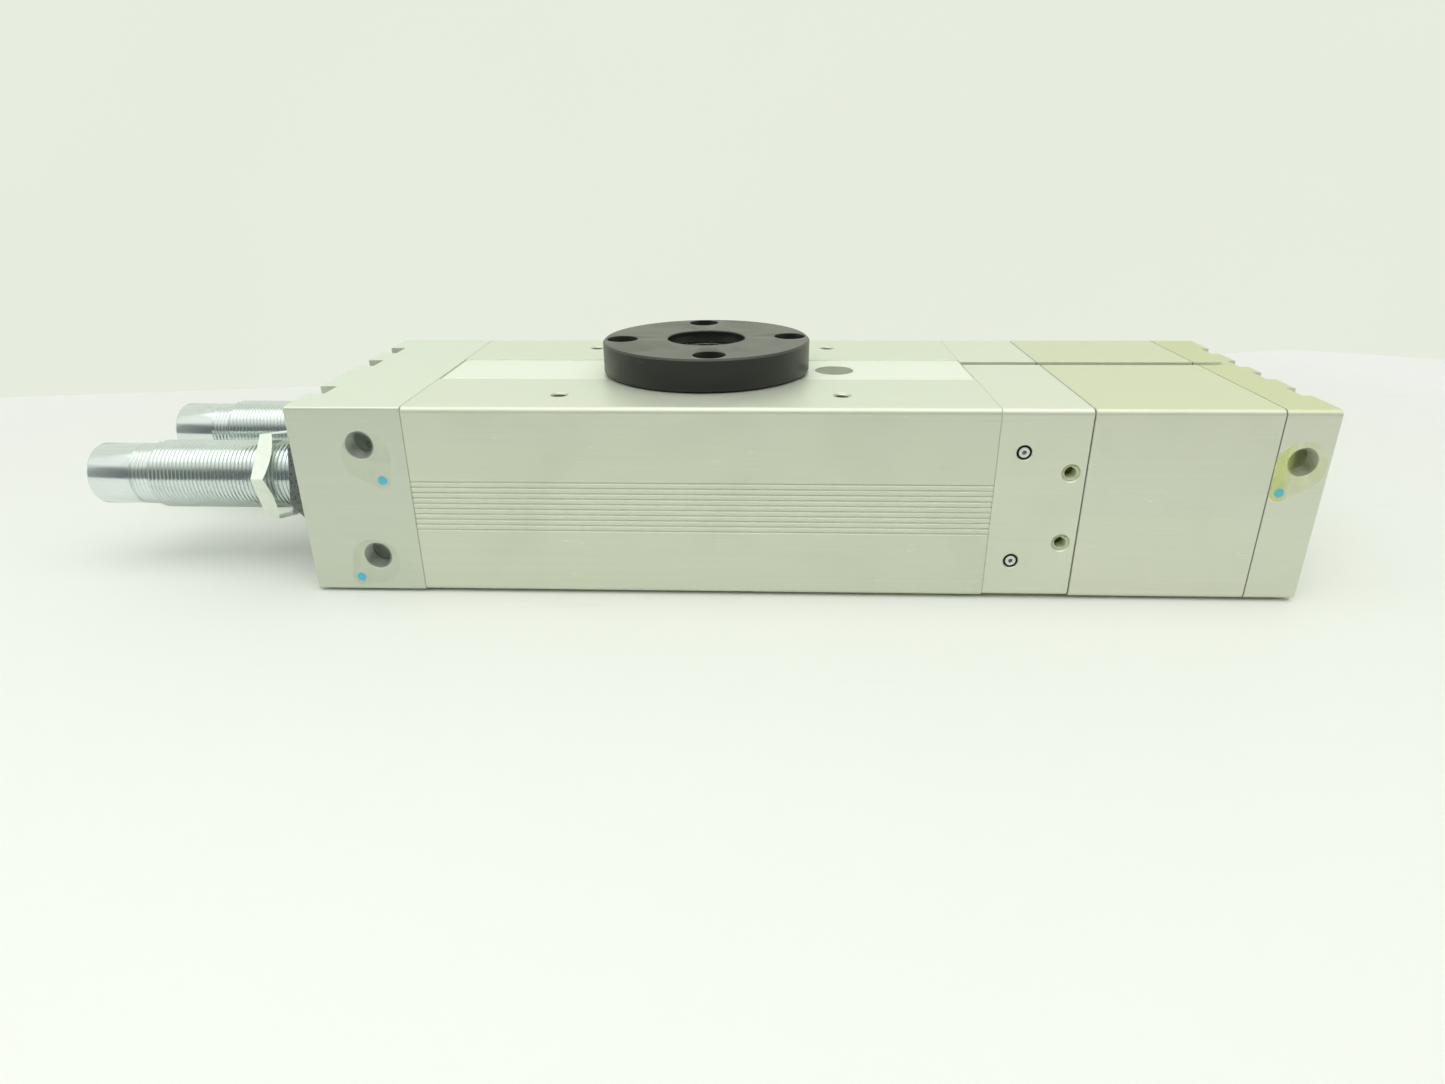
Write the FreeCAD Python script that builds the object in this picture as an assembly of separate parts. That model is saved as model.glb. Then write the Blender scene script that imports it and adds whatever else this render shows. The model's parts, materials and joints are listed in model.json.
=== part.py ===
import FreeCAD, Part
import math
import os

from FreeCAD import Vector

# Pneumatic semi-rotary drive: two rack pistons turn one hollow pinion shaft with a flange on top.
# Two adjustable shock absorbers stand at the -X end, and a module with two stop cylinders at +X.
# Millimetres. The origin is on the output axis in the underside plane, X runs along the body
# and Z is up. Front is -Y, rear is +Y.

# --- Rack and pinion -------------------------------------------------------------------------
GEAR_MODULE = 1.5
PINION_TEETH = 22
PRESSURE_ANGLE = 20.0
TOOTH_PLAY = 0.14          # taken off each tooth's thickness at the pitch line
DEDENDUM_FACTOR = 1.25
PINION_FACE = 26.0
RACK_SUNK = 7.0            # rack pitch line inside the piston's surface
RACK_TEETH = 15
SWING_EACH_WAY = 90.0      # degrees either side of the middle

# --- Pistons ---------------------------------------------------------------------------------
PISTON_DIAMETER = 40.0
PISTON_CLEARANCE = 0.20
PISTON_END_CHAMFER = 0.8
RING_CLEARANCE = 0.05      # guide bands and seals to their bore
SEAL_WIDTH = 4.0
SEAL_DEPTH = 3.0
BAND_WIDTH = 4.0
BAND_DEPTH = 1.5
MAGNET_DIAMETER = 12.0
MAGNET_LENGTH = 4.0
MAGNET_SUNK = 0.4          # below the piston's end face
PISTON_LAND = 2.0          # plain land beside a groove
RACK_LAND = 1.0            # between the last groove and the rack's relief
RACK_END_GAP = 0.8         # pinion to the end of the relief at the end of the swing
GROOVE_PLAY = 0.05

# --- Housings --------------------------------------------------------------------------------
TOP_WALL = 14.5            # piston bore to the top and to the underside
SIDE_WALL = 9.5
BODY_LENGTH = 203.0
ABSORBER_CAP_LENGTH = 40.5
PLATE_LENGTH = 30.5
MODULE_LENGTH = 61.5
MODULE_CAP_LENGTH = 18.0
EDGE_RADIUS = 2.0
ABSORBER_CAP_EDGE_RADIUS = 1.0
SEAM_CHAMFER = 0.25
PLATE_RIGHT_CHAMFER = 0.5
PLATE_UNDERCUT = 0.4       # underside of the plate stands back from the others
STATIC_FIT = 0.05
RUNNING_FIT = 0.05
REGISTER_LENGTH = 3.0      # spigots that centre the caps and the plate in the bores
ORING_WIRE = 2.0
ORING_SQUEEZE = 0.02

# Groove field along the front and rear faces
GROOVE_COUNT = 10
GROOVE_PITCH = 2.0
GROOVE_WIDTH = 0.9
GROOVE_DEPTH = 0.5
GROOVE_MIDDLE_DROP = 1.5   # centre of the field below the piston axes

# Bright strip along the top
STRIP_WIDTH = 35.0
STRIP_DEPTH = 0.5

# Threaded mounting holes on top and underneath, on one rectangle
MOUNT_HOLE_SPACING_X = 100.0
MOUNT_HOLE_SPACING_Y = 82.0
MOUNT_HOLE_DIAMETER = 6.0
MOUNT_HOLE_DEPTH = 12.0
HOLE_CHAMFER = 0.35
CENTRING_DIAMETER = 48.0
CENTRING_DEPTH = 3.0

# Filler plug in the strip
TOP_PLUG_DIAMETER = 15.0
TOP_PLUG_DEPTH = 5.0
TOP_PLUG_X = 50.0
TOP_PLUG_SUNK = 0.15       # below the strip

# --- Output shaft, bearings and flange -------------------------------------------------------
SHAFT_BORE = 20.0
SHAFT_DIAMETER = 40.0
SHAFT_LOWER_DIAMETER = 25.0
SHAFT_SHOULDER_DIAMETER = 29.0
SHAFT_BOTTOM_HEIGHT = 3.6
COLLAR_DIAMETER = 44.0
COLLAR_THICKNESS = 2.0
COLLAR_ROOM = 1.0
CHAMBER_GAP = 1.5          # pinion tip to chamber wall, and pinion to chamber floor
UPPER_BEARING = {"bore": 40.0, "outer": 52.0, "width": 7.0, "balls": 22}
LOWER_BEARING = {"bore": 25.0, "outer": 37.0, "width": 7.0, "balls": 14}
BALL_DIAMETER = 3.5
RACE_PLAY = 0.05
RACE_LAND = 0.8            # ball circle to the edge of each ring
UPPER_BEARING_DEPTH = 13.0
LOWER_BEARING_HEIGHT = 6.0
UPPER_CIRCLIP = 1.75
LOWER_CIRCLIP = 1.2
CIRCLIP_GROOVE = 1.2       # radial depth of a circlip's groove
CIRCLIP_SHOW = 2.2         # how far a circlip stands over its bearing ring
CIRCLIP_GAP_ANGLE = 40.0
SHAFT_SEAL_WIDTH = 3.0
SEAL_BELOW_STRIP = 0.3

FLANGE_DIAMETER = 80.0
FLANGE_THICKNESS = 12.0
FLANGE_GAP = 0.3
FLANGE_CHAMFER = 0.7
FLANGE_BORE = 30.0
FLANGE_LIP = 4.3           # thickness left above the shaft's head
FLANGE_PITCH_CIRCLE = 65.0
FLANGE_HOLES = 4
FLANGE_THREAD_DIAMETER = 8.0
FLANGE_SLEEVE_DIAMETER = 12.0
FLANGE_SLEEVE_DEPTH = 2.6
FLANGE_TURN = 5.0          # hole pattern at the middle of the swing
KEY_DIAMETER = 5.0
KEY_SUNK = 0.2             # above the flange's lower face

# --- Shock absorbers -------------------------------------------------------------------------
ABSORBER_DIAMETER = 26.0
ABSORBER_PITCH = 1.5
ABSORBER_LENGTH = 133.0
ABSORBER_THREAD_DEPTH = 0.85
ABSORBER_SMOOTH_STEP = 1.3  # thread crest to the smooth end's surface
ABSORBER_SMOOTH_LENGTH = 16.6
ABSORBER_THREAD_TURNS = 61
ABSORBER_RUN_IN_TURNS = 5  # first turns, cut into the smooth diameter
ABSORBER_RUN_IN_DEPTH = 0.5
THREAD_RISE = 0.45         # share of the pitch from a root to the crest's first edge
THREAD_CREST = 0.15        # share of the pitch across a crest
ABSORBER_CHAMFER = 1.0
REAR_ABSORBER_BACK = 1.3   # the rear one is screwed in a little less
ABSORBER_SOCKET = 10.0
ABSORBER_SOCKET_DEPTH = 4.0
BUFFER_STROKE = 15.0
BUFFER_TIP_GAP = 0.28      # relaxed buffer to piston at the end of the swing
BUFFER_PAD_DIAMETER = 14.0
BUFFER_PAD_LENGTH = 4.0
BUFFER_ROD_DIAMETER = 8.0
ABSORBER_WALL = 3.5        # thread crest to the gland and the pressure tube
GLAND_LENGTH = 8.0
TUBE_WALL = 2.4
TUBE_LENGTH = 96.0
TUBE_FLOOR = 3.0
METERING_HOLE = 1.2
METERING_HOLES = 4
DAMPER_LENGTH = 3.5
DAMPER_GAP = 0.5           # damper disc to the gland when the buffer is relaxed
SPRING_WIRE = 1.0
SPRING_ROOM = 1.35         # round the spring inside the pressure tube
SPRING_PITCH = 6.0

SLEEVE_WALL = 5.0          # thread crest to a flat
SLEEVE_LENGTH = 9.5
SLEEVE_TURN = 13.0         # a flat's normal above the -Y direction
NUT_WALL = 3.0
NUT_LENGTH = 6.5
NUT_GAP = 8.3              # bare thread between sleeve and nut
NUT_TURN = 17.5            # a corner above the -Y direction
HEX_CORNER_CHAMFER = 30.0
HEX_FACE_SHARE = 0.97      # a chamfered face's circle as a share of the size across flats

# --- Ports -----------------------------------------------------------------------------------
PORT_DIAMETER = 9.7
PORT_DEPTH = 8.5
FEED_DIAMETER = 3.0
FEED_WALL = 1.0            # between a feed drilling and the O-ring groove outside it
FEED_OVERRUN = 2.5         # how far a drilling runs past the axis of the one it meets
LINK_DIAMETER = 2.2        # drillings that link two feeds at different heights
LINK_OVERRUN = 0.5
FEED_SHIFT = 2.0           # cross drillings leave the end cap's ports nearer the middle height
CAP_PORT_FROM_BODY = 16.0
CAP_PORT_RISE = 20.9       # above and below the piston axes
MODULE_PORT_FROM_END = 9.1
MODULE_PORT_RISE = 16.6
SMALL_PORT_DIAMETER = 5.0
SMALL_PORT_SINK = 6.9
SMALL_PORT_DEPTH = 8.0
SMALL_FEED_DIAMETER = 2.4
SMALL_BORE_FEED = 2.0      # from the small feed into the stop cylinder
SMALL_PORT_FROM_MODULE = 5.2
SMALL_PORT_RISES = (12.3, -13.5)
PLUG_SCREW_FROM_BODY = 8.8
PLUG_SCREW_RISES = (19.5, -20.5)
PLUG_SCREW_DIAMETER = 3.7
PLUG_RING_DIAMETER = 5.2
PLUG_RING_DEPTH = 1.6
PLUG_SCREW_LENGTH = 6.0
PLUG_SCREW_SOCKET = 1.5
PLUG_SCREW_SUNK = 0.3      # below the plate's front face
PLUG_RING_SUNK = 0.4

# --- Sensor slot -----------------------------------------------------------------------------
SLOT_Y = 10.5
SLOT_MOUTH = 5.2
SLOT_INNER = 6.6
SLOT_LIP = 1.6
SLOT_DEPTH = 4.7
SLOT_RUN_OUT = 11.5
SLOT_CUTTER_RADIUS = 16.0

# --- Tie screws ------------------------------------------------------------------------------
SCREW_DIAMETER = 6.0
SCREW_HOLE = 6.6
SCREW_INTO_BODY = 15.0
SCREW_DROP = 9.5           # screw axes from the top and from the underside
NOTCH_WIDTH = 11.0
SCREW_HEAD = 10.0
SCREW_HEAD_CHAMFER = 0.5
ABSORBER_CAP_SCREW_Y = (-35.0, 10.0, 35.0)
ABSORBER_CAP_NOTCH = 6.5
ABSORBER_CAP_HEAD_LENGTH = 6.0
MODULE_SCREW_Y = (-34.5, -10.0, 10.5, 34.5)
MODULE_CAP_NOTCH = 3.5
MODULE_HEAD_LENGTH = 3.3
SCREW_SOCKET = 5.0
SOCKET_DEPTH = 2.4

# --- Stop module -----------------------------------------------------------------------------
STOP_BORE = 32.0
STOP_PISTON_LENGTH = 12.0
STOP_PISTON_CLEARANCE = 0.15
STOP_ROD_DIAMETER = 16.0
STOP_ROD_INSET = 0.5       # retracted rod tip behind the plate's face
STOP_ROD_CHAMFER = 1.0
STOP_ROD_ROOM = 0.3        # round the rod where no bush carries it
BUMPER_THICKNESS = 2.0
BUMPER_DIAMETER = 18.0
BUMPER_GAP = 0.5
BUSH_WALL = 2.0
BUSH_LENGTH = 14.0
BUSH_FROM_BODY = 4.5
ROD_SEAL_WALL = 2.5
ROD_SEAL_LENGTH = 4.0
ROD_SEAL_GAP = 2.0

# --- Worked out ------------------------------------------------------------------------------
PITCH_RADIUS = GEAR_MODULE * PINION_TEETH / 2
TIP_RADIUS = PITCH_RADIUS + GEAR_MODULE
ROOT_RADIUS = PITCH_RADIUS - DEDENDUM_FACTOR * GEAR_MODULE
TOOTH_WIDTH = math.pi * GEAR_MODULE / 2 - TOOTH_PLAY
PISTON_TRAVEL = math.radians(SWING_EACH_WAY) * PITCH_RADIUS
PISTON_RADIUS = PISTON_DIAMETER / 2
RACK_OFFSET = PISTON_RADIUS - RACK_SUNK
PISTON_Y = PITCH_RADIUS + RACK_OFFSET
HEIGHT = PISTON_DIAMETER + 2 * TOP_WALL
WIDTH = 2 * (PISTON_Y + PISTON_RADIUS + SIDE_WALL)
AXIS_HEIGHT = HEIGHT / 2
RELIEF_HALF = PISTON_TRAVEL + math.sqrt(TIP_RADIUS**2 - (PISTON_Y - PISTON_RADIUS) ** 2) + RACK_END_GAP
PISTON_HALF = RELIEF_HALF + RACK_LAND + BAND_WIDTH + SEAL_WIDTH + 2 * PISTON_LAND
FRONT = -WIDTH / 2
X_BODY_RIGHT = BODY_LENGTH / 2
X_BODY_LEFT = -X_BODY_RIGHT
X_CAP_LEFT = X_BODY_LEFT - ABSORBER_CAP_LENGTH
X_PLATE_RIGHT = X_BODY_RIGHT + PLATE_LENGTH
X_MODULE_RIGHT = X_PLATE_RIGHT + MODULE_LENGTH
X_CAP_RIGHT = X_MODULE_RIGHT + MODULE_CAP_LENGTH
PISTON_LIMIT = PISTON_HALF + PISTON_TRAVEL
CHAMBER_RADIUS = TIP_RADIUS + CHAMBER_GAP
PINION_BOTTOM = AXIS_HEIGHT - PINION_FACE / 2
PINION_TOP = AXIS_HEIGHT + PINION_FACE / 2
UPPER_SEAT = HEIGHT - UPPER_BEARING_DEPTH
STRIP_HEIGHT = HEIGHT - STRIP_DEPTH
FLANGE_BOTTOM = HEIGHT + FLANGE_GAP
FLANGE_TOP = FLANGE_BOTTOM + FLANGE_THICKNESS
SHAFT_TOP = FLANGE_TOP - FLANGE_LIP
ROW_HEIGHTS = (HEIGHT - SCREW_DROP, SCREW_DROP)
UPPER_PORT_HEIGHT = AXIS_HEIGHT + CAP_PORT_RISE
LOWER_PORT_HEIGHT = AXIS_HEIGHT - CAP_PORT_RISE
MODULE_PORT_HEIGHT = AXIS_HEIGHT + MODULE_PORT_RISE
SMALL_PORT_HEIGHTS = [AXIS_HEIGHT + rise for rise in SMALL_PORT_RISES]
PLUG_SCREW_HEIGHTS = [AXIS_HEIGHT + rise for rise in PLUG_SCREW_RISES]
ABSORBER_SMOOTH_DIAMETER = ABSORBER_DIAMETER - 2 * ABSORBER_SMOOTH_STEP
GLAND_DIAMETER = ABSORBER_DIAMETER - 2 * ABSORBER_WALL
TUBE_INNER_DIAMETER = GLAND_DIAMETER - 2 * TUBE_WALL
SPRING_DIAMETER = TUBE_INNER_DIAMETER - SPRING_WIRE - 2 * SPRING_ROOM
SIDES = {"front": -1, "rear": 1}
ABSORBER_BACK = {"front": 0.0, "rear": REAR_ABSORBER_BACK}
ALONG_X = Vector(1, 0, 0)
ALONG_Y = Vector(0, 1, 0)
ALONG_Z = Vector(0, 0, 1)
BEYOND = 1.0               # how far a cutting solid runs past the face it opens


# --- Basic shapes ----------------------------------------------------------------------------
def block(x0, x1, y0, y1, z0, z1):
    return Part.makeBox(x1 - x0, y1 - y0, z1 - z0, Vector(x0, y0, z0))


def rod_x(diameter, x0, x1, y, z):
    return Part.makeCylinder(diameter / 2, x1 - x0, Vector(x0, y, z), ALONG_X)


def rod_y(diameter, y0, y1, x, z):
    return Part.makeCylinder(diameter / 2, y1 - y0, Vector(x, y0, z), ALONG_Y)


def rod_z(diameter, z0, z1, x=0.0, y=0.0):
    return Part.makeCylinder(diameter / 2, z1 - z0, Vector(x, y, z0), ALONG_Z)


def ring_x(outer, inner, x0, x1, y, z):
    return rod_x(outer, x0, x1, y, z).cut(rod_x(inner, x0 - BEYOND, x1 + BEYOND, y, z))


def ring_z(outer, inner, z0, z1):
    return rod_z(outer, z0, z1).cut(rod_z(inner, z0 - BEYOND, z1 + BEYOND))


def turned_x(outline, y, z):
    """Solid of revolution about a line along X; the outline is (x, radius) pairs."""
    corners = [Vector(x, y, z + radius) for x, radius in outline]
    face = Part.Face(Part.makePolygon(corners + corners[:1]))
    return face.revolve(Vector(0, y, z), ALONG_X, 360)


def turned_z(outline):
    """Solid of revolution about the output axis; the outline is (radius, z) pairs."""
    corners = [Vector(radius, 0, z) for radius, z in outline]
    face = Part.Face(Part.makePolygon(corners + corners[:1]))
    return face.revolve(Vector(0, 0, 0), ALONG_Z, 360)


def hexagon_x(across_flats, x0, x1, y, z, corner_turn):
    """Hexagonal prism along X, with one corner turned up from the -Y direction."""
    radius = across_flats / math.sqrt(3)
    corners = []
    for index in range(6):
        angle = math.radians(180 - corner_turn + 60 * index)
        corners.append(Vector(x0, y + radius * math.cos(angle), z + radius * math.sin(angle)))
    face = Part.Face(Part.makePolygon(corners + corners[:1]))
    return face.extrude(Vector(x1 - x0, 0, 0))


def merged(shapes):
    return shapes[0].multiFuse(shapes[1:])


def without(shape, cutters):
    return shape.cut(Part.makeCompound(cutters))


def hole_z(diameter, mouth, depth, x, y, inward):
    """Cutter for a hole with a small countersink; inward is +1 up or -1 down from the mouth."""
    floor = mouth + inward * depth
    low, high = sorted((mouth - inward * BEYOND, floor))
    wide = diameter / 2 + HOLE_CHAMFER
    sink = Part.makeCone(wide, diameter / 2, HOLE_CHAMFER, Vector(x, y, mouth), Vector(0, 0, inward))
    return rod_z(diameter, low, high, x, y).fuse(sink)


def hole_y(diameter, depth, x, z, sink_diameter=None):
    """Cutter for a countersunk hole going in from the front face."""
    wide = (sink_diameter or diameter + 2 * HOLE_CHAMFER) / 2
    sink = Part.makeCone(wide, diameter / 2, wide - diameter / 2, Vector(x, FRONT, z), ALONG_Y)
    return rod_y(diameter, FRONT - BEYOND, FRONT + depth, x, z).fuse(sink)


def housing_bar(x0, x1, edge_radius, left_chamfer, right_chamfer, bottom=0.0):
    """Rectangular housing with rounded long edges and a small chamfer round each end."""
    bar = block(x0, x1, FRONT, -FRONT, bottom, HEIGHT)
    long_edges = [edge for edge in bar.Edges if abs(edge.BoundBox.XLength - (x1 - x0)) < 1e-6]
    bar = bar.makeFillet(edge_radius, long_edges)
    for x, size in ((x0, left_chamfer), (x1, right_chamfer)):
        rim = [edge for edge in bar.Edges if abs(edge.BoundBox.XMin - x) + abs(edge.BoundBox.XMax - x) < 1e-6]
        bar = bar.makeChamfer(size, rim)
    return bar


# --- Screws ----------------------------------------------------------------------------------
def screw_places(columns):
    return [(y, z) for z in ROW_HEIGHTS for y in columns]


def screw_notch(x0, x1, y, z):
    """Round-bottomed notch that opens at the nearer of the top and the underside."""
    half = NOTCH_WIDTH / 2
    low, high = (z, HEIGHT + BEYOND) if z > AXIS_HEIGHT else (-BEYOND, z)
    return rod_x(NOTCH_WIDTH, x0, x1, y, z).fuse(block(x0, x1, y - half, y + half, low, high))


def cap_screw(seat, towards, head_length, shank_end, y, z):
    """Socket-head screw; towards is +1 or -1, the way its shank points along X."""
    back = seat - towards * head_length
    head = rod_x(SCREW_HEAD, min(seat, back), max(seat, back), y, z)
    rim = [edge for edge in head.Edges if abs(edge.BoundBox.XMin - back) < 1e-6 and edge.Closed]
    head = head.makeChamfer(SCREW_HEAD_CHAMFER, rim)
    shank = rod_x(SCREW_DIAMETER, min(seat, shank_end), max(seat, shank_end), y, z)
    floor = back + towards * SOCKET_DEPTH
    mouth = back - towards * BEYOND
    socket = hexagon_x(SCREW_SOCKET, min(floor, mouth), max(floor, mouth), y, z, 0)
    return head.fuse(shank).cut(socket)


def absorber_cap_screws():
    seat = X_CAP_LEFT + ABSORBER_CAP_NOTCH
    end = X_BODY_LEFT + SCREW_INTO_BODY - BEYOND
    places = screw_places(ABSORBER_CAP_SCREW_Y)
    return [cap_screw(seat, 1, ABSORBER_CAP_HEAD_LENGTH, end, y, z) for y, z in places]


def module_cap_screws():
    seat = X_CAP_RIGHT - MODULE_CAP_NOTCH
    end = X_BODY_RIGHT - SCREW_INTO_BODY + BEYOND
    return [cap_screw(seat, -1, MODULE_HEAD_LENGTH, end, y, z) for y, z in screw_places(MODULE_SCREW_Y)]


# --- Housings --------------------------------------------------------------------------------
def groove_field(side):
    """V grooves along one long face; side is -1 for the front and +1 for the rear."""
    face = side * WIDTH / 2
    middle = AXIS_HEIGHT - GROOVE_MIDDLE_DROP
    cutters = []
    for index in range(GROOVE_COUNT):
        z = middle + (index - (GROOVE_COUNT - 1) / 2) * GROOVE_PITCH
        corners = [
            Vector(X_BODY_LEFT - BEYOND, face, z - GROOVE_WIDTH / 2),
            Vector(X_BODY_LEFT - BEYOND, face - side * GROOVE_DEPTH, z),
            Vector(X_BODY_LEFT - BEYOND, face, z + GROOVE_WIDTH / 2),
            Vector(X_BODY_LEFT - BEYOND, face + side * BEYOND, z),
        ]
        wedge = Part.Face(Part.makePolygon(corners + corners[:1]))
        cutters.append(wedge.extrude(Vector(BODY_LENGTH + 2 * BEYOND, 0, 0)))
    return cutters


def mounting_holes():
    cutters = []
    for x in (-MOUNT_HOLE_SPACING_X / 2, MOUNT_HOLE_SPACING_X / 2):
        for y in (-MOUNT_HOLE_SPACING_Y / 2, MOUNT_HOLE_SPACING_Y / 2):
            cutters.append(hole_z(MOUNT_HOLE_DIAMETER, HEIGHT, MOUNT_HOLE_DEPTH, x, y, -1))
            cutters.append(hole_z(MOUNT_HOLE_DIAMETER, 0, MOUNT_HOLE_DEPTH, x, y, 1))
    return cutters


def shaft_cavity():
    """Everything turned about the output axis inside the main housing."""
    upper = UPPER_BEARING["outer"]
    lower = LOWER_BEARING["outer"]
    floor = PINION_BOTTOM - CHAMBER_GAP
    lower_top = LOWER_BEARING_HEIGHT + LOWER_BEARING["width"]
    upper_top = UPPER_SEAT + UPPER_BEARING["width"]
    collar_room = UPPER_SEAT - COLLAR_THICKNESS - COLLAR_ROOM
    return [
        rod_z(2 * CHAMBER_RADIUS, floor, UPPER_SEAT),
        rod_z(COLLAR_DIAMETER + 3 * COLLAR_ROOM, collar_room, UPPER_SEAT),
        rod_z(upper, UPPER_SEAT, HEIGHT + BEYOND),
        rod_z(upper + 2 * CIRCLIP_GROOVE, upper_top, upper_top + UPPER_CIRCLIP + 2 * GROOVE_PLAY),
        rod_z(SHAFT_SHOULDER_DIAMETER + 3 * COLLAR_ROOM, lower_top - BEYOND, floor + BEYOND),
        rod_z(lower, CENTRING_DEPTH - BEYOND, lower_top),
        rod_z(
            lower + 2 * CIRCLIP_GROOVE,
            LOWER_BEARING_HEIGHT - LOWER_CIRCLIP - 2 * GROOVE_PLAY,
            LOWER_BEARING_HEIGHT,
        ),
        rod_z(CENTRING_DIAMETER, -BEYOND, CENTRING_DEPTH),
    ]


def main_housing():
    body = housing_bar(X_BODY_LEFT, X_BODY_RIGHT, EDGE_RADIUS, SEAM_CHAMFER, SEAM_CHAMFER)
    half_strip = STRIP_WIDTH / 2
    left = X_BODY_LEFT - BEYOND
    right = X_BODY_RIGHT + BEYOND
    cutters = [
        block(left, right, -half_strip, half_strip, STRIP_HEIGHT, HEIGHT + BEYOND),
        rod_z(TOP_PLUG_DIAMETER, STRIP_HEIGHT - TOP_PLUG_DEPTH, HEIGHT, TOP_PLUG_X),
    ]
    for side in SIDES.values():
        y = side * PISTON_Y
        cutters.append(rod_x(PISTON_DIAMETER, left, right, y, AXIS_HEIGHT))
        cutters.extend(groove_field(side))
    for y, z in screw_places(ABSORBER_CAP_SCREW_Y):
        cutters.append(rod_x(SCREW_DIAMETER, left, X_BODY_LEFT + SCREW_INTO_BODY, y, z))
    for y, z in screw_places(MODULE_SCREW_Y):
        cutters.append(rod_x(SCREW_DIAMETER, X_BODY_RIGHT - SCREW_INTO_BODY, right, y, z))
    cutters.extend(mounting_holes())
    cutters.extend(shaft_cavity())
    return without(body, [merged(cutters)])


def register(x_face, towards, bore, y):
    """Spigot on a face, with a groove for its O-ring; towards is the way it points along X."""
    tip = x_face + towards * REGISTER_LENGTH
    spigot = rod_x(bore - 2 * STATIC_FIT, min(x_face, tip), max(x_face, tip), y, AXIS_HEIGHT)
    return spigot.cut(oring(x_face, towards, bore, y, play=GROOVE_PLAY, reach=BEYOND))


def oring(x_face, towards, bore, y, play=0.0, reach=-ORING_SQUEEZE):
    middle = x_face + towards * REGISTER_LENGTH / 2
    inner = bore - 2 * ORING_WIRE
    x0 = middle - ORING_WIRE / 2 - play
    x1 = middle + ORING_WIRE / 2 + play
    return ring_x(bore + 2 * reach, inner - 2 * play, x0, x1, y, AXIS_HEIGHT)


def feed_reach(bore, diameter):
    """Distance from a bore's axis to a drilling that passes inside its O-ring groove."""
    return bore / 2 - ORING_WIRE - FEED_WALL - diameter / 2


def feed_link(x, y, z_bore, z_cross):
    """Short upright drilling between a bore's feed and the cross drilling."""
    low, high = sorted((z_bore, z_cross))
    return rod_z(LINK_DIAMETER, low - LINK_OVERRUN, high + LINK_OVERRUN, x, y)


def absorber_cap_feeds():
    """Port drillings: the upper port feeds the front bore and the lower port the rear bore."""
    port_x = X_BODY_LEFT - CAP_PORT_FROM_BODY
    start = FRONT + PORT_DEPTH - BEYOND
    end = X_BODY_LEFT + REGISTER_LENGTH + BEYOND
    cutters = []
    for height, side, up in ((UPPER_PORT_HEIGHT, -1, 1), (LOWER_PORT_HEIGHT, 1, -1)):
        y = side * PISTON_Y
        cross = height - up * FEED_SHIFT
        z = AXIS_HEIGHT + up * feed_reach(PISTON_DIAMETER, FEED_DIAMETER)
        cutters.append(hole_y(PORT_DIAMETER, PORT_DEPTH, port_x, height))
        cutters.append(rod_y(FEED_DIAMETER, start, y + FEED_OVERRUN, port_x, cross))
        cutters.append(feed_link(port_x, y, z, cross))
        cutters.append(rod_x(FEED_DIAMETER, port_x - FEED_OVERRUN, end, y, z))
    return cutters


def absorber_end_cap():
    cap = housing_bar(X_CAP_LEFT, X_BODY_LEFT, ABSORBER_CAP_EDGE_RADIUS, SEAM_CHAMFER, SEAM_CHAMFER)
    registers = [register(X_BODY_LEFT, 1, PISTON_DIAMETER, side * PISTON_Y) for side in SIDES.values()]
    cutters = absorber_cap_feeds()
    for side in SIDES.values():
        bore = ABSORBER_DIAMETER + 2 * RUNNING_FIT
        end = X_BODY_LEFT + REGISTER_LENGTH + BEYOND
        cutters.append(rod_x(bore, X_CAP_LEFT - BEYOND, end, side * PISTON_Y, AXIS_HEIGHT))
    for y, z in screw_places(ABSORBER_CAP_SCREW_Y):
        cutters.append(screw_notch(X_CAP_LEFT - BEYOND, X_CAP_LEFT + ABSORBER_CAP_NOTCH, y, z))
        cutters.append(rod_x(SCREW_HOLE, X_CAP_LEFT, X_BODY_LEFT + BEYOND, y, z))
    return without(merged([cap] + registers), [merged(cutters)])


def sensor_slot(x0, x1):
    top = HEIGHT + BEYOND
    mouth = block(x0, x1, SLOT_Y - SLOT_MOUTH / 2, SLOT_Y + SLOT_MOUTH / 2, HEIGHT - SLOT_DEPTH, top)
    low = HEIGHT - SLOT_DEPTH
    inner = block(x0, x1, SLOT_Y - SLOT_INNER / 2, SLOT_Y + SLOT_INNER / 2, low, HEIGHT - SLOT_LIP)
    return mouth.fuse(inner)


def slot_run_out():
    """Where the disc cutter left the end cap's top: a mouth-wide arc that rises to nothing."""
    radius = SLOT_CUTTER_RADIUS
    half_chord = math.sqrt(radius**2 - (radius - SLOT_DEPTH) ** 2)
    centre_x = X_MODULE_RIGHT + SLOT_RUN_OUT - half_chord
    centre = Vector(centre_x, SLOT_Y - SLOT_MOUTH / 2, HEIGHT + radius - SLOT_DEPTH)
    disc = Part.makeCylinder(radius, SLOT_MOUTH, centre, ALONG_Y)
    keep = block(X_MODULE_RIGHT - BEYOND, X_CAP_RIGHT, FRONT, -FRONT, 0, HEIGHT + radius)
    return disc.common(keep)


def slot_lead_in():
    """Full-depth stretch of the mouth up to where the disc cutter starts to rise."""
    radius = SLOT_CUTTER_RADIUS
    half_chord = math.sqrt(radius**2 - (radius - SLOT_DEPTH) ** 2)
    end = X_MODULE_RIGHT + SLOT_RUN_OUT - half_chord
    if end <= X_MODULE_RIGHT:
        return []
    return [sensor_slot(X_MODULE_RIGHT - BEYOND, end)]


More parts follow.
